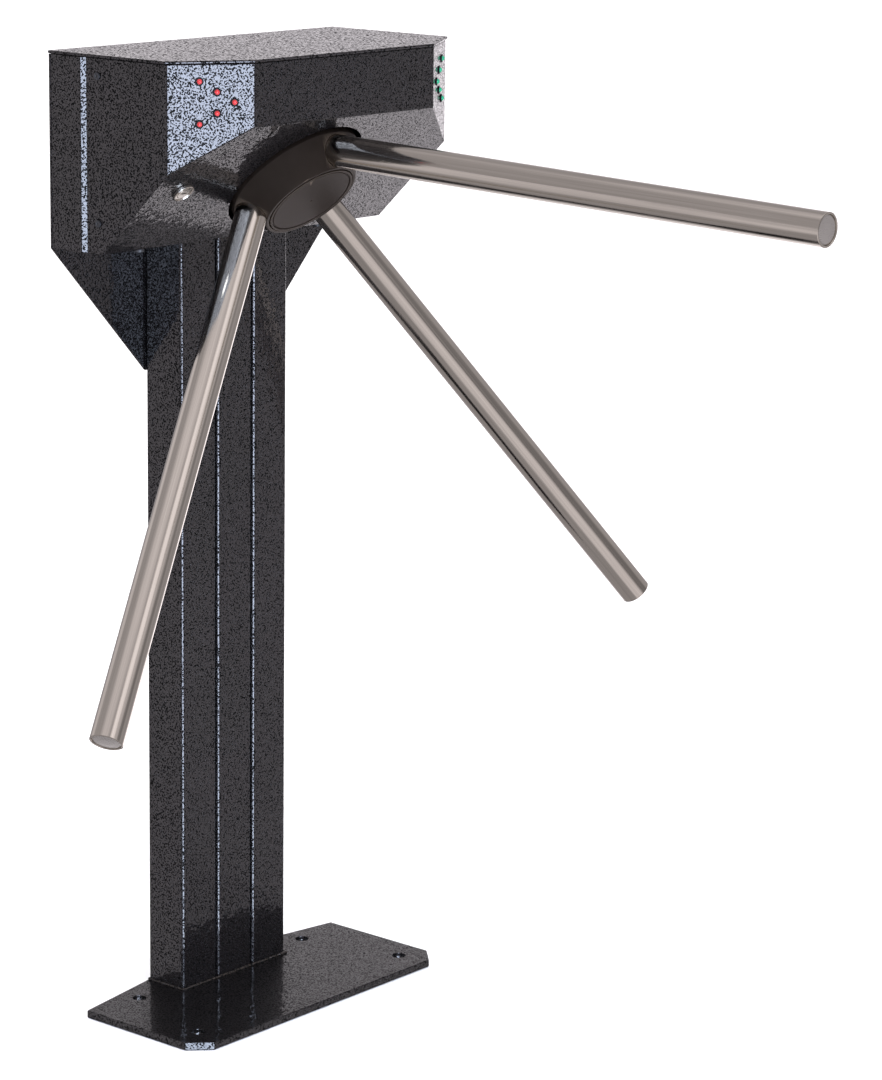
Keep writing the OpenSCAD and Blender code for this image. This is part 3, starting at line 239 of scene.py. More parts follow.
def hammered_paint(name, light=PAINT_LIGHT, dark=PAINT_DARK, relief=1.0, size=1.0):
    """Dark metallic paint with fine pits under a glossy coat."""
    material, tree, shader = new_material(name)
    # Turned, so that no flat face lies along the noise's own grid
    place = tree.turned(tree.space("Object"), GRID_TURN)
    wide = tree.noise(place, WIDE_GRAIN / size, detail=0.0)
    fine = tree.noise(tree.vector("ADD", place, FINE_SHIFT), FINE_GRAIN / size, detail=0.0)
    drift = tree.noise(place, DRIFT_GRAIN)
    height = tree.blend(wide, fine, WIDE_SHARE)
    groove = tree.ramp(height, *GROOVE_RANGE, smooth=True)
    # Mask of the pits, whose near-black colour is partly the dark base and partly painted shade in the
    # dimples
    pit = tree.ramp(height, *PIT_RANGE, 1.0, 0.0, smooth=True)
    land = tree.mix(tree.ramp(drift, *DRIFT_RANGE), rgb(*dark), rgb(*light))
    # Light flecks: partly metallic flakes and partly painted glints on the crests of the relief
    flecks = tree.noise(tree.vector("ADD", place, FLECK_SHIFT), FLECK_GRAIN, detail=0.0)
    flake_and_glint = tree.calc("MULTIPLY", tree.ramp(flecks, *FLECK_RANGE), FLECK_SHARE)
    orange_peel = tree.bump(tree.noise(place, PEEL_GRAIN, detail=1.0), PEEL_DEPTH, strength=0.38)
    pitted = tree.bump(groove, PIT_DEPTH * relief, strength=0.8, under=orange_peel)
    tree.feed(shader, {
        "Base Color": tree.mix(pit, tree.mix(flake_and_glint, land, FLAKE_AND_GLINT_GREY), PIT_SHADE_BLACK),
        "Metallic": tree.between(pit, 0.92, 0.0),
        "Roughness": tree.between(pit, 0.42, 0.65),
        "Specular IOR Level": 0.08,
        "Coat Weight": tree.between(pit, 1.0, 0.03),
        "Coat Roughness": 0.04,
        "Coat IOR": 1.65,
        "Normal": pitted,
        "Coat Normal": pitted})
    return material


def brushed(name, base, rough, stretch, metallic=1.0, streak=0.05):
    """Metal whose grain has its own fineness along each axis of the object."""
    material, tree, shader = new_material(name)
    place = tree.space("Object")
    grain = tree.stretched_noise(place, stretch, detail=3.0, rough=0.6)
    soft = tree.noise(place, 9.0)
    tree.feed(shader, {
        "Base Color": tree.vector("SCALE", base, tree.spread(grain, 1.0 - streak, 1.0 + streak)),
        "Metallic": metallic,
        "Roughness": tree.spread(tree.blend(grain, soft, 0.5), rough * 0.75, rough * 1.3),
        "Normal": tree.bump(grain, distance=0.00005, strength=0.5)})
    return material


ARM_COLOUR = (0.63, 0.587, 0.525)


def arm_steel(i):
    """Polished tube with fine lines along arm i."""
    material, tree, shader = new_material("arm_steel_%d" % (i + 1))
    place = tree.space("Object")
    # Coordinates across and along the arm's own axis
    along = arm_direction(i)
    side = along.orthogonal().normalized()
    local = tree.vector("ADD", place, tuple(-APEX))
    axes = [tree.vector("DOT_PRODUCT", local, tuple(axis)) for axis in (side, along.cross(side), along)]

    def lines(across, lengthwise, detail, rough):
        """Noise drawn out along the arm."""
        node = tree.add("ShaderNodeCombineXYZ")
        for number, scale in enumerate((across, across, lengthwise)):
            tree.put(node.inputs[number], tree.calc("MULTIPLY", axes[number], scale))
        return tree.noise(node.outputs[0], 1.0, detail, rough)

    fine = lines(across=1700.0, lengthwise=9.0, detail=3.0, rough=0.6)
    broad = lines(across=260.0, lengthwise=3.0, detail=2.0, rough=0.5)
    smudge = tree.noise(place, 22.0, detail=3.0, rough=0.55)
    tone = tree.calc("ADD", tree.spread(fine, -0.07, 0.07), tree.spread(broad, 0.90, 1.05))
    satin = tree.calc("ADD", tree.spread(fine, 0.10, 0.15), tree.ramp(smudge, 0.4, 0.7, -0.01, 0.04))
    tree.feed(shader, {
        "Base Color": tree.vector("SCALE", ARM_COLOUR, tone),
        "Metallic": 1.0,
        "Roughness": satin,
        "Normal": tree.bump(tree.blend(fine, broad, 0.4), distance=0.00014, strength=0.45)})
    return material


HUB_DARK, HUB_LIGHT = (0.0135, 0.0098, 0.0085), (0.0190, 0.0145, 0.0125)
# The second of these colours is a painted highlight on the hub's edges that stand out.
HUB_SCUFF, HUB_EDGE_HIGHLIGHT, HUB_TINT = rgb(0.05, 0.041, 0.036), rgb(0.17, 0.14, 0.115), rgb(1.0, 0.90, 0.82)


def hub_coat(name, lift=1.0, rough=0.44):
    """Satin brown-black coat of the hub, glossier where its edges stand out, with a painted highlight there.
    """
    material, tree, shader = new_material(name)
    place = tree.space("Object")
    fine = tree.noise(place, 1900.0, rough=0.6)
    cloud = tree.noise(place, 24.0, detail=3.0)
    scuff = tree.stretched_noise(place, (60.0, 300.0, 300.0), detail=4.0, rough=0.7)
    pointiness = tree.add("ShaderNodeNewGeometry").outputs["Pointiness"]
    # Painted highlight on the edges that stand out, which are also made more metallic and glossier
    edge_highlight = tree.ramp(pointiness, 0.505, 0.56, smooth=True)
    coat = tree.mix(tree.spread(cloud), rgb(*lifted(HUB_DARK, lift)), rgb(*lifted(HUB_LIGHT, lift)))
    scuffed = tree.mix(tree.ramp(scuff, 0.66, 0.78, 0.0, 0.25), coat, HUB_SCUFF)
    satin = tree.calc("ADD", tree.spread(fine, rough - 0.04, rough + 0.04), tree.spread(cloud, -0.02, 0.04))
    tree.feed(shader, {
        "Base Color": tree.mix(tree.calc("MULTIPLY", edge_highlight, 0.7), scuffed, HUB_EDGE_HIGHLIGHT),
        "Metallic": tree.between(edge_highlight, 0.1, 0.6),
        "Roughness": tree.calc("SUBTRACT", satin, tree.calc("MULTIPLY", edge_highlight, 0.18)),
        "Specular IOR Level": 0.24,
        "Specular Tint": HUB_TINT,
        "Normal": tree.bump(fine, distance=0.00006, strength=0.5)})
    return material


def plastic(name, base, rough, grain=1500.0, depth=0.00005, gloss=0.5):
    """Moulded plastic or rubber with a fine grain."""
    material, tree, shader = new_material(name)
    place = tree.space("Object")
    fine = tree.noise(place, grain, rough=0.6)
    cloud = tree.ramp(tree.noise(place, 30.0), 0.35, 0.7)
    tree.feed(shader, {
        "Base Color": tree.mix(cloud, rgb(*base), rgb(*lifted(base, 1.5, 0.006))),
        "Roughness": tree.spread(fine, rough * 0.85, min(1.0, rough * 1.2)),
        "Specular IOR Level": gloss,
        "Normal": tree.bump(fine, depth, strength=0.6)})
    return material


BOARD_DARK, BOARD_LIGHT = rgb(0.010, 0.085, 0.040), rgb(0.016, 0.120, 0.055)
BOARD_TRACK = rgb(0.08, 0.22, 0.10)


def circuit_board():
    """Green board with a grid of tracks."""
    material, tree, shader = new_material("circuit_board")
    place = tree.space("Object")
    flat = tree.vector("MULTIPLY", place, (1.0, 0.0, 1.0))
    grid = tree.feed(tree.add("ShaderNodeTexBrick"), {"Vector": flat, "Scale": 130.0, "Mortar Size": 0.03})
    tracks = tree.ramp(grid.outputs["Fac"], 0.3, 0.9, 0.0, 0.35)
    fine = tree.noise(place, 400.0)
    board = tree.mix(tree.ramp(fine, 0.4, 0.6), BOARD_DARK, BOARD_LIGHT)
    tree.feed(shader, {
        "Base Color": tree.mix(tracks, board, BOARD_TRACK),
        "Roughness": tree.spread(fine, 0.28, 0.40),
        "Coat Weight": 0.3})
    return material


def lens(name, base, glow):
    """Tinted plastic of a signal light."""
    material, tree, shader = new_material(name)
    fine = tree.noise(tree.space("Object"), 700.0)
    tree.feed(shader, {
        "Base Color": tree.mix(tree.ramp(fine, 0.35, 0.65), rgb(*base), rgb(*lifted(base, 1.25, 0.02))),
        "Roughness": tree.spread(fine, 0.14, 0.22),
        "Coat Weight": 0.25,
        "Specular IOR Level": 0.2,
        "Emission Color": rgb(*base),
        "Emission Strength": glow,
        "Subsurface Weight": 0.15,
        "Subsurface Radius": (0.002, 0.001, 0.001)})
    return material


MATERIALS = {
    "hammered_paint": hammered_paint("hammered_paint"),
    # The base plate's paint is a darker copy of the hammered paint with shallower pits; its darker colour is
    # painted shade on the plate.
    "plate_paint": hammered_paint("plate_paint", light=(0.0120, 0.0095, 0.0105),
                                  dark=(0.0080, 0.0065, 0.0075), relief=0.45, size=1.1),
    # The lid's paint is a lighter copy of the hammered paint with coarser pits; its lighter colour is painted
    # light on the lid's top.
    "lid_paint": hammered_paint("lid_paint", light=(0.0300, 0.0250, 0.0290),
                                dark=(0.0220, 0.0180, 0.0210), relief=1.5, size=1.5),
    # The weld bead's paint is a lighter, browner copy of the hammered paint: a painted highlight along the
    # bead's ridge.
    "weld_paint": hammered_paint("weld_paint", light=(0.055, 0.041, 0.031), dark=(0.028, 0.022, 0.018)),
    "stainless": brushed("stainless_face", (0.62, 0.60, 0.57), 0.26, (90.0, 900.0, 900.0)),
    "bearing_steel": brushed("bearing_steel", (0.66, 0.66, 0.67), 0.14, (500.0, 500.0, 500.0)),
    "zinc_steel": brushed("zinc_steel", (0.52, 0.54, 0.58), 0.34, (40.0, 500.0, 500.0), streak=0.12),
    "tool_steel": brushed("tool_steel", (0.20, 0.205, 0.22), 0.36, (300.0, 300.0, 900.0), streak=0.15),
    "black_oxide": brushed("black_oxide", (0.035, 0.034, 0.036), 0.45, (300.0, 300.0, 300.0),
                           metallic=0.3, streak=0.12),
    "nickel": brushed("nickel", (0.66, 0.62, 0.56), 0.20, (300.0, 300.0, 300.0)),
    "brass": brushed("brass", (0.68, 0.50, 0.22), 0.28, (400.0, 400.0, 80.0)),
    "housing_alloy": brushed("housing_alloy", (0.44, 0.45, 0.47), 0.40, (300.0, 60.0, 60.0), streak=0.10),
    "hub_coat": hub_coat("hub_coat"),
    "cap_coat": hub_coat("cap_coat", lift=1.45, rough=0.50),
    "black_plastic": plastic("black_plastic", (0.012, 0.012, 0.014), 0.42),
    "led_rim": plastic("led_rim", (0.003, 0.003, 0.004), 0.60, gloss=0.08),
    "rubber": plastic("rubber", (0.014, 0.014, 0.014), 0.72, grain=900.0, depth=0.0001),
    "circuit_board": circuit_board(),
    "red_lens": lens("red_lens", (0.40, 0.026, 0.028), 0.12),
    "green_lens": lens("green_lens", (0.01, 0.26, 0.13), 0.10),
}
for i in range(ARM_COUNT):
    MATERIALS["arm_%d" % (i + 1)] = arm_steel(i)

# Nodes whose material isn't the one of their slot
FINISH = {"frame_screws": "black_oxide", "base_plate": "plate_paint", "lid": "lid_paint",
          "arm_1": "arm_1", "arm_2": "arm_2", "arm_3": "arm_3"}


def dress(obj, material):
    obj.data.materials.clear()
    obj.data.materials.append(material)


# Shapes
SHARP_ANGLE, EASED_ANGLE, FLAT_ANGLE = math.radians(40), math.radians(24), math.radians(0.2)
MERGE, TINY_MERGE, ON_AXIS = 2e-6, 1e-7, 1e-6
BORE_SEGMENTS = 96
SIDE_SHARE = 0.48


def shade(shape):
    """Smooth shading between the sharp edges."""
    for face in shape.faces:
        face.smooth = True
    for edge in shape.edges:
        edge.smooth = len(edge.link_faces) == 2 and edge.calc_face_angle(0.0) < SHARP_ANGLE


def even_normals(obj):
    obj.modifiers.new("even", "WEIGHTED_NORMAL").keep_sharp = True


def finish_mesh(shape, name, node, material):
    """A piece that rides on the body of a node and wears the given material."""
    bmesh.ops.recalc_face_normals(shape, faces=shape.faces)
    shade(shape)
    mesh = bpy.data.meshes.new(name)
    shape.to_mesh(mesh)
    shape.free()
    obj = bpy.data.objects.new(name, mesh)
    scene.collection.objects.link(obj)
    even_normals(obj)
    dress(obj, material)
    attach(obj, BODY_OF[node])
    return obj


def round_edges(shape, edges, width, segments):
    bmesh.ops.bevel(shape, geom=edges, offset=width, offset_type="OFFSET", segments=segments,
                    profile=0.5, affect="EDGES")


def soften(node, width, segments, pick=None):
    """A copy of a node with its outer edges rounded, which takes the node's place."""
    shape = bmesh.new()
    shape.from_mesh(NODES[node].data)
    bmesh.ops.remove_doubles(shape, verts=shape.verts, dist=MERGE)
    bmesh.ops.dissolve_limit(shape, angle_limit=FLAT_ANGLE, verts=shape.verts, edges=shape.edges)
    edges = [edge for edge in shape.edges
             if len(edge.link_faces) == 2 and edge.calc_face_angle(0.0) > EASED_ANGLE
             and edge.is_convex and (pick is None or pick(edge))]
    round_edges(shape, edges, width, segments)
    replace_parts(finish_mesh(shape, node + "_eased", node, NODES[node].data.materials[0]), node)


def filleted(points, fillet, steps):
    """A closed profile with its corners rounded, apart from those on the axis."""
    profile = []
    for number, point in enumerate(points):
        corner = Vector(point)
        to_last = Vector(points[number - 1]) - corner
        to_next = Vector(points[(number + 1) % len(points)]) - corner
        if min(abs(corner.x), to_last.length, to_next.length) < ON_AXIS:
            profile.append(tuple(corner))
            continue
        run = min(fillet / math.tan(to_last.angle(to_next) / 2),
                  to_last.length * SIDE_SHARE, to_next.length * SIDE_SHARE)
        start, end = corner + to_last.normalized() * run, corner + to_next.normalized() * run
        for step in range(steps + 1):
            share = step / steps
            profile.append(tuple(start * (1 - share) ** 2 + corner * 2 * share * (1 - share)
                                 + end * share ** 2))
    return profile


def lathe(name, points, fillet, at, axis, node, material, turns=96, steps=4):
    """A turned piece: a closed profile of (radius, height) round an axis, with rounded corners."""
    profile = filleted(points, fillet, steps)
    axis = axis.normalized()
    side = axis.orthogonal().normalized()
    third = axis.cross(side)
    shape = bmesh.new()
    rings = []
    for i in range(turns):
        angle = 2 * math.pi * i / turns
        spoke = side * math.cos(angle) + third * math.sin(angle)
        rings.append([shape.verts.new(at + axis * height + spoke * reach) for reach, height in profile])
    for i, ring in enumerate(rings):
        following = rings[(i + 1) % turns]
        for k in range(len(profile)):
            after = (k + 1) % len(profile)
            shape.faces.new((ring[k], following[k], following[after], ring[after]))
    bmesh.ops.remove_doubles(shape, verts=shape.verts, dist=TINY_MERGE)
    return finish_mesh(shape, name, node, material)


def bore(obj, starts, axes, radius, length):
    """Cuts round holes out of a piece."""
    tools = bmesh.new()
    for start, axis in zip(starts, axes):
        turn = axis.to_track_quat("Z", "Y").to_matrix().to_4x4()
        place = Matrix.Translation(start + axis * length / 2) @ turn
        bmesh.ops.create_cone(tools, cap_ends=True, segments=BORE_SEGMENTS, radius1=radius, radius2=radius,
                              depth=length, matrix=place)
    mesh = bpy.data.meshes.new("cutter")
    tools.to_mesh(mesh)
    tools.free()
    cutter = bpy.data.objects.new("cutter", mesh)
    scene.collection.objects.link(cutter)
    cut = obj.modifiers.new("bores", "BOOLEAN")
    cut.operation = "DIFFERENCE"
    cut.solver = "EXACT"
    cut.object = cutter
    obj.modifiers.remove(obj.modifiers["even"])
    bpy.context.view_layer.update()
    evaluated = obj.evaluated_get(bpy.context.evaluated_depsgraph_get())
    bored = bpy.data.meshes.new_from_object(evaluated)
    obj.modifiers.remove(cut)
    bpy.data.objects.remove(cutter)
    bored.name = obj.name
    shape = bmesh.new()
    shape.from_mesh(bored)
    shade(shape)
    shape.to_mesh(bored)
    shape.free()
    obj.data = bored
    even_normals(obj)


BEAD_STEP, BEAD_SIDES = 0.0011, 10
RIPPLE, RIPPLE_TURN, WAVER, WAVER_SPAN = 0.16, 2.1, 0.22, 9


def bead(name, route, radius, node, material, seed):
    """A weld bead along a route, rippled and a little uneven."""
    rng = np.random.default_rng(seed)
    upward = Vector((0, 0, 1))
    stations = []
    for start, end in zip(route[:-1], route[1:]):
        count = max(2, round((end - start).length / BEAD_STEP))
        stations += [start.lerp(end, k / count) for k in range(count)]
    stations.append(route[-1])
    draws = rng.normal(0, 1, len(stations) + WAVER_SPAN - 1)
    uneven = np.convolve(draws, np.ones(WAVER_SPAN) / WAVER_SPAN, "valid")
    shape = bmesh.new()
    rings = []
    for i, at in enumerate(stations):
        along = (stations[min(i + 1, len(stations) - 1)] - stations[max(i - 1, 0)]).normalized()
        side = along.cross(upward).normalized()
        reach = radius * (1 + RIPPLE * math.sin(i * RIPPLE_TURN) + WAVER * float(uneven[i]))
        angles = [2 * math.pi * k / BEAD_SIDES for k in range(BEAD_SIDES)]
        rings.append([shape.verts.new(at + (side * math.cos(angle) + upward * math.sin(angle)) * reach)
                      for angle in angles])
    for ring, following in zip(rings[:-1], rings[1:]):
        for k in range(BEAD_SIDES):
            after = (k + 1) % BEAD_SIDES
            shape.faces.new((ring[k], following[k], following[after], ring[after]))
    shape.faces.new(rings[0])
    shape.faces.new(rings[-1])
    finish_mesh(shape, name, node, material)


# Sheet metal, plates and small parts with eased edges: the width and the steps of the rounding
LID_EAVES, LID_EASED = 0.9765, (0.0013, 3)
EASED = {"front_hood": (0.0011, 2), "rear_chassis": (0.0009, 2), "base_plate": (0.0010, 2),
         "back_panel": (0.0008, 2), "hood_screws": (0.0006, 2), "lock_housing": (0.0007, 3)}


def ease_sheet_metal():
    # The lid's lip, which hangs below its eaves, stays sharp
    soften("lid", *LID_EASED, pick=lambda edge: min(vert.co.z for vert in edge.verts) > LID_EAVES)
    for node, (width, segments) in EASED.items():
        soften(node, width, segments)


# Hub: a turned shell with a low rim, bored for the three arms
RIM_UP, HUB_FILLET = 0.0016, 0.0014
SOCKET_R, SOCKET_LENGTH = 0.0163, 0.08


def add_hub():
    recess_floor = HUB_FACE - CAP_RECESS
    points = [(HUB_CAVITY_R, -HUB_BACK), (HUB_RIM_R, -HUB_BACK), (HUB_RIM_R, RIM_UP), (HUB_FACE_R, HUB_FACE),
              (CAP_RECESS_R, HUB_FACE), (CAP_RECESS_R, recess_floor), (HUB_CAVITY_R, recess_floor)]
    shell = lathe("hub_shell", points, HUB_FILLET, HUB_MID, OUT, "hub_cone", MATERIALS["hub_coat"],
                  turns=160, steps=5)
    axes = [arm_direction(i) for i in range(ARM_COUNT)]
    bore(shell, [APEX + axis * ARM_SOCKET_START for axis in axes], axes, SOCKET_R, SOCKET_LENGTH)
    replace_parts(shell, "hub_cone")


# Cap of the hub: a disc with a raised border, a groove inside it and a centre mark, on a spigot
CAP_R, CAP_BACK, CAP_FACE, CAP_BORDER = 0.0468, 0.0273, 0.0302, 0.0306
BORDER_R, GROOVE, GROOVE_OUTER, GROOVE_INNER, FACE_R = 0.0446, 0.0292, 0.0440, 0.0432, 0.0428
# Rings that keep the quads of the flat face short, so that it shades evenly
FACE_RINGS = (0.034, 0.025, 0.016, 0.007)
MARK_TOP_R, MARK_R, MARK_EDGE, MARK_FLOOR = 0.0014, 0.0011, 0.0296, 0.0294
SPIGOT_INNER, SPIGOT_OUTER, SPIGOT_LOW, SPIGOT_HIGH = 0.0217, 0.0237, 0.0213, 0.0275
CAP_FILLET, SPIGOT_FILLET = 0.0005, 0.0004


def add_cap():
    face = [(radius, CAP_FACE) for radius in (FACE_R, *FACE_RINGS, MARK_TOP_R)]
    disc = [(0.0, CAP_BACK), (CAP_R, CAP_BACK), (CAP_R, CAP_BORDER), (BORDER_R, CAP_BORDER),
            (GROOVE_OUTER, GROOVE), (GROOVE_INNER, GROOVE), *face, (MARK_R, MARK_EDGE), (0.0, MARK_FLOOR)]
    lathe("hub_cap_disc", disc, CAP_FILLET, HUB_MID, OUT, "hub_cap", MATERIALS["cap_coat"], turns=128)
    ring = [(SPIGOT_INNER, SPIGOT_LOW), (SPIGOT_OUTER, SPIGOT_LOW),
            (SPIGOT_OUTER, SPIGOT_HIGH), (SPIGOT_INNER, SPIGOT_HIGH)]
    spigot = lathe("hub_cap_spigot", ring, SPIGOT_FILLET, HUB_MID, OUT, "hub_cap", MATERIALS["cap_coat"])
    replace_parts(spigot, "hub_cap")


# Arm ends: the tube's eased mouth and the pressed-in cap, which is slightly domed
MOUTH_DEPTH, MOUTH_EASED = 0.0004, (0.0008, 3)
TIP_R, TIP_FILLET = 0.01395, 0.0005
TIP_POINTS = [(0.0, -END_CAP_LENGTH), (TIP_R, -END_CAP_LENGTH), (TIP_R, -0.0009), (0.0125, -0.0003),
              (0.0060, 0.0), (0.0, 0.0001)]


def add_arm_ends():
    for i in range(ARM_COUNT):
        number, along = i + 1, arm_direction(i)
        soften("arm_%d" % number, *MOUTH_EASED, pick=lambda edge: all(
            (vert.co - APEX).dot(along) > ARM_REACH - MOUTH_DEPTH for vert in edge.verts))
        tip = APEX + along * (ARM_REACH - END_CAP_SINK)
        cap = lathe("arm_tip_cap_%d" % number, TIP_POINTS, TIP_FILLET, tip, along, "arm_end_caps",
                    MATERIALS["stainless"], turns=64)
        if i == 0:
            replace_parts(cap, "arm_end_caps")


# Column foot: a thin bead round the front and the sides, and the strips that close the seams
BEAD_R, BEAD_OFFSET, BEAD_END, BEAD_SEED = 0.0017, 0.0007, 0.001, 5
STRIP_INSET, STRIP_TOP = 0.010, 0.791


def add_foot_bead():
    out = 1.5 * TUBE_SIZE + TUBE_GAP + BEAD_OFFSET
    front, rear = -TUBE_SIZE / 2 - BEAD_OFFSET, TUBE_SIZE / 2 - BEAD_END
    corners = ((-out, rear), (-out, front), (out, front), (out, rear))
    route = [Vector((x, y, PLATE_THICK + BEAD_OFFSET)) for x, y in corners]
    # The bead's paint carries a painted highlight along its ridge
    bead("foot_bead", route, BEAD_R, "welds", MATERIALS["weld_paint"], BEAD_SEED)


def add_seam_strips():
    shape = bmesh.new()
    for side in (-1, 1):
        made = bmesh.ops.create_cube(shape, size=1.0)["verts"]
        bmesh.ops.scale(shape, vec=(TUBE_GAP, TUBE_SIZE - STRIP_INSET, STRIP_TOP - PLATE_THICK), verts=made)
        middle = (side * (TUBE_SIZE + TUBE_GAP) / 2, 0, (STRIP_TOP + PLATE_THICK) / 2)
        bmesh.ops.translate(shape, vec=middle, verts=made)
    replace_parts(finish_mesh(shape, "seam_strips", "welds", MATERIALS["hammered_paint"]), "welds")


# Lock: a proud bezel round the plug
BEZEL_POINTS = [(0.0070, 0.0012), (0.0110, 0.0012), (0.0110, 0.0034), (0.0098, 0.0038), (0.0092, 0.0026),
                (0.0070, 0.0026)]
BEZEL_FILLET = 0.0004


def add_lock_bezel():
    lock_at = HUB_MID + Vector((-LOCK_OFFSET, 0, 0))
    lathe("lock_bezel", BEZEL_POINTS, BEZEL_FILLET, lock_at, OUT, "lock_housing", MATERIALS["nickel"],
          turns=64)


# Bevelled trim in the joint between the hood and the chassis, one at each end of the box
TRIM_SILL, TRIM_EAVES = 0.790, 0.9765
TRIM_WIDTH, TRIM_RISE, TRIM_LIP, TRIM_SLANT, TRIM_DEPTH = 0.0049, 0.0042, 0.0004, 0.0046, 0.0051
TRIM_ROUNDING = 0.0004


def add_end_trims():
    end, joint = HOOD_HALF + CHASSIS_STEP, -CHASSIS_REACH
    outline = [(end - TRIM_WIDTH, joint), (end, joint), (end, joint - TRIM_LIP),
               (end - TRIM_RISE, joint - TRIM_SLANT), (end - TRIM_RISE, joint - TRIM_DEPTH),
               (end - TRIM_WIDTH, joint - TRIM_DEPTH)]
    for side, name in SIDES:
        shape = bmesh.new()
        low, high = [[shape.verts.new((side * x, y, z)) for x, y in outline]
                     for z in (TRIM_SILL, TRIM_EAVES)]
        for k in range(len(outline)):
            after = (k + 1) % len(outline)
            shape.faces.new((low[k], low[after], high[after], high[k]))
        shape.faces.new(low)
        shape.faces.new(high)
        round_edges(shape, list(shape.edges), TRIM_ROUNDING, 2)
        finish_mesh(shape, "end_trim_" + name, "rear_chassis", MATERIALS["hammered_paint"])


# Signal lights: a dark rim on each bezel
RIM_POINTS = [(0.00262, 0.0), (0.0042, 0.0), (0.0042, 0.0009), (0.00262, 0.0012)]
RIM_FILLET, RIM_SINK, FRONT_DEPTH, BEZEL_WIDTH = 0.0004, 0.001, 0.0002, 0.0095


def clusters(points, width):
    """Groups of points that lie within a width of the group's first one."""
    groups = []
    for point in points:
        group = next((group for group in groups if (group[0] - point).length < width), None)
        if group is None:
            groups.append([point])
        else:
            group.append(point)
    return groups


def middle_of(points):
    low = Vector([min(point[axis] for point in points) for axis in range(3)])
    high = Vector([max(point[axis] for point in points) for axis in range(3)])
    return (low + high) / 2


def add_led_rims():
    turn = math.atan2(CORNER_CUT_DEPTH, CORNER_CUT_LENGTH)
    for side, name in SIDES:
        facing = Vector((side * math.sin(turn), -math.cos(turn), 0))
        points = [vert.co for vert in NODES["led_bezels"].data.vertices if vert.co.x * side > 0]
        front = max(point.dot(facing) for point in points) - FRONT_DEPTH
        bezels = clusters([point for point in points if point.dot(facing) >= front], BEZEL_WIDTH)
        for number, bezel in enumerate(bezels, 1):
            rim_at = middle_of(bezel) - facing * RIM_SINK
            lathe("led_rim_%s_%d" % (name, number), RIM_POINTS, RIM_FILLET, rim_at, facing, "led_bezels",
                  MATERIALS["led_rim"], turns=40)


# Studio, with angles in degrees

# A patch is a soft round light on the walls: the azimuth from +X and the elevation of its middle,
# the angles from there at which it begins to fade and ends, and its gain, below 0 where it darkens
PATCHES = (
    (0, 90, 20, 42, 0.42),       # ceiling panel
    (-80, 43, 8, 16, 0.75),      # strip above the front
    (-102, -27, 14, 34, 0.46),   # floor in front
    (-54, 6, 8, 22, -0.18),      # dark front right
    (-40, -16, 9, 19, 0.20),     # floor on the front right
    (-57, 29, 6, 16, 0.26),      # wall on the front right
    (92, 18, 8, 18, 0.32),       # wall behind on the left
    (140, -12, 6, 20, 0.34),     # floor behind on the left
    (38, 4, 7, 18, 0.42),        # backdrop behind on the right
    (23, -12, 8, 18, 0.98),      # card behind on the right
    (24, -38, 18, 36, 0.80),     # floor on the right
)
# A band is a level stripe: its elevation, half its height, its soft edge, the azimuth of its middle,
# the angle from there at which it ends, and its gain. It begins to fade at a share of that angle.
BANDS = ((4.0, 1.0, 0.6, 143, 30, 0.30), (-5.0, 1.5, 1.5, -74, 24, -0.16))
BAND_FADE = 0.6
HORIZON_LOW, HORIZON_HIGH, GROUND, SKY, DARKEST = -0.06, 0.02, 0.36, 0.42, 0.03
STUDIO_COLOUR, BACKDROP_COLOUR = rgb(1.0, 0.942, 0.985), rgb(1.0, 1.0, 1.0)


def sine(angle):
    return math.sin(math.radians(angle))


def cosine(angle):
    return math.cos(math.radians(angle))


def add_world():
    """Patches and bands that only light and reflect. The camera sees plain white."""
    world = bpy.data.worlds.new("studio")
    scene.world = world
    world.use_nodes = True
    tree = Tree(world.node_tree)
    background = next(node for node in tree.nodes if node.type == "BACKGROUND")
    view = tree.space("Generated")
    level = tree.feed(tree.add("ShaderNodeSeparateXYZ"), {0: view}).outputs["Z"]

    def patch(azimuth, elevation, inner, outer, gain):
        middle = (cosine(azimuth) * cosine(elevation), sine(azimuth) * cosine(elevation), sine(elevation))
        nearness = tree.vector("DOT_PRODUCT", view, middle)
        return tree.ramp(nearness, cosine(outer), cosine(inner), 0.0, gain, smooth=True)

    def band(elevation, half, soft, azimuth, outer, gain):
        bottom, top = elevation - half, elevation + half
        above = tree.ramp(level, sine(bottom - soft), sine(bottom), smooth=True)
        below = tree.ramp(level, sine(top), sine(top + soft), 1.0, 0.0, smooth=True)
        stripe = tree.calc("MULTIPLY", above, below)
        return tree.calc("MULTIPLY", stripe, patch(azimuth, elevation, outer * BAND_FADE, outer, gain))

    tone = tree.ramp(level, HORIZON_LOW, HORIZON_HIGH, GROUND, SKY, smooth=True)
    for light in [patch(*row) for row in PATCHES] + [band(*row) for row in BANDS]:
        tone = tree.calc("ADD", tone, light)
    tone = tree.calc("MAXIMUM", tone, DARKEST)
    seen = tree.add("ShaderNodeLightPath").outputs["Is Camera Ray"]
    unseen = tree.calc("SUBTRACT", 1.0, seen)
    tree.feed(background, {
        "Color": tree.mix(seen, STUDIO_COLOUR, BACKDROP_COLOUR),
        "Strength": tree.calc("ADD", tree.calc("MULTIPLY", tone, unseen), seen)})


FLOOR_HALF, FLOOR_DROP = 40, 0.0005
FLOOR_WHITE = rgb(0.93, 0.93, 0.93)


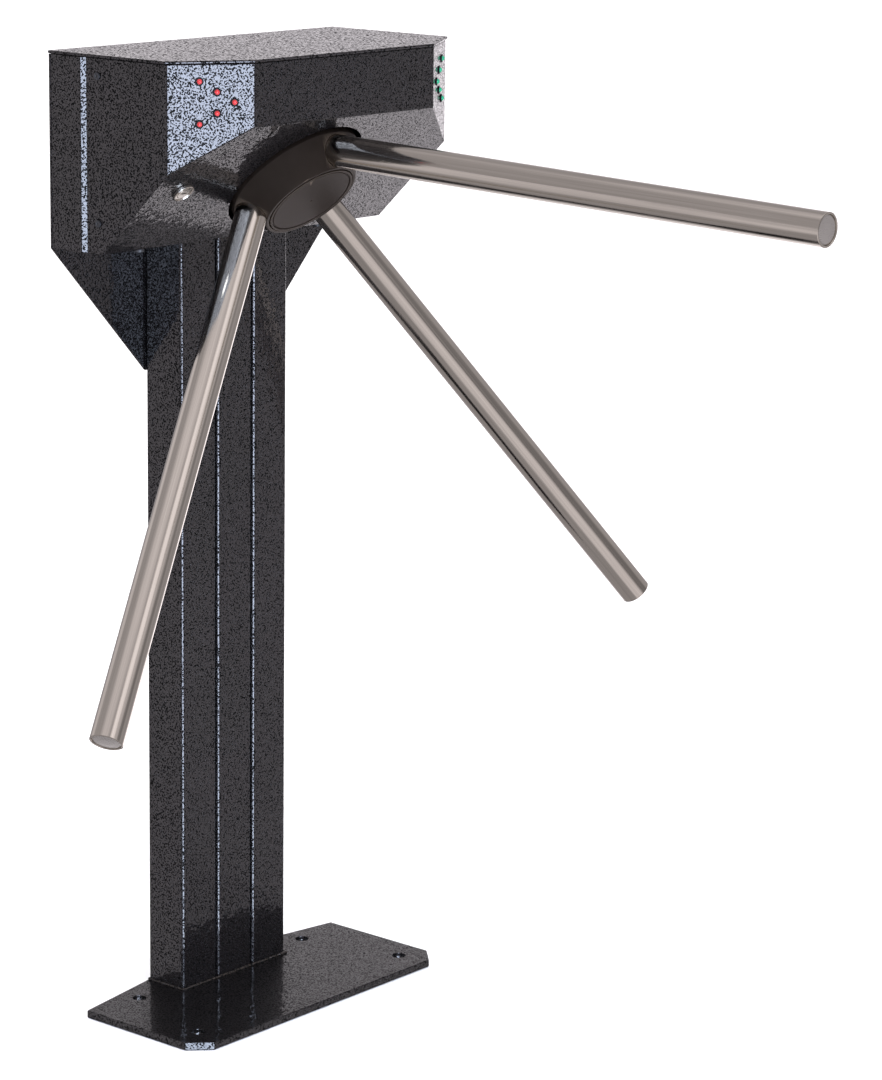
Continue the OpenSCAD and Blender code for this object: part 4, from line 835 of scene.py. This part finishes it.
def add_floor():
    material, tree, shader = new_material("floor")
    tree.feed(shader, {"Base Color": FLOOR_WHITE, "Roughness": 0.9, "Specular IOR Level": 0.0})
    corners = [(x * FLOOR_HALF, y * FLOOR_HALF, 0) for x, y in ((-1, -1), (1, -1), (1, 1), (-1, 1))]
    mesh = bpy.data.meshes.new("floor")
    mesh.from_pydata(corners, [], [(0, 1, 2, 3)])
    floor = bpy.data.objects.new("floor", mesh)
    scene.collection.objects.link(floor)
    floor.location.z = -FLOOR_DROP
    dress(floor, material)
    floor.visible_glossy = False


SOFTBOX_AT, SOFTBOX_TARGET = Vector((-1.211, -1.867, 0.10)), Vector((-0.181, -0.027, 0.10))
SOFTBOX_WIDTH, SOFTBOX_HEIGHT, SOFTBOX_POWER, SOFTBOX_COLOUR = 1.75, 2.5, 138.0, (0.69, 0.80, 1.0)


def add_softbox():
    """Large bluish light on the front left, which lights everything but the hub and the arms."""
    data = bpy.data.lights.new("front_left_box", "AREA")
    data.shape = "RECTANGLE"
    data.size = SOFTBOX_WIDTH
    data.size_y = SOFTBOX_HEIGHT
    data.energy = SOFTBOX_POWER
    data.color = SOFTBOX_COLOUR
    light = bpy.data.objects.new("front_left_box", data)
    light.location = SOFTBOX_AT
    light.rotation_euler = (SOFTBOX_TARGET - SOFTBOX_AT).to_track_quat("-Z", "Y").to_euler()
    light.visible_camera = False
    scene.collection.objects.link(light)
    lit = bpy.data.collections.new("lit_by_front_left_box")
    for obj in scene.objects:
        if obj.type == "MESH" and "arm_" not in obj.name and "hub_" not in obj.name:
            lit.objects.link(obj)
    light.light_linking.receiver_collection = lit


SUN_STRENGTH, SUN_SPREAD = 3.1, math.radians(70)


def add_sun():
    """Wide light from straight above, unseen in mirrors."""
    data = bpy.data.lights.new("overhead", "SUN")
    data.energy = SUN_STRENGTH
    data.angle = SUN_SPREAD
    light = bpy.data.objects.new("overhead", data)
    light.visible_glossy = False
    scene.collection.objects.link(light)


add_camera()
for node, obj in NODES.items():
    dress(obj, MATERIALS[FINISH.get(node, SLOT_OF[node])])
ease_sheet_metal()
add_hub()
add_cap()
add_arm_ends()
add_foot_bead()
add_seam_strips()
add_lock_bezel()
add_end_trims()
add_led_rims()
add_world()
add_floor()
add_softbox()
add_sun()

scene.view_settings.view_transform = "Standard"
scene.view_settings.look = "None"
scene.view_settings.exposure = 0.0
scene.view_settings.gamma = 1.0

bpy.context.view_layer.update()
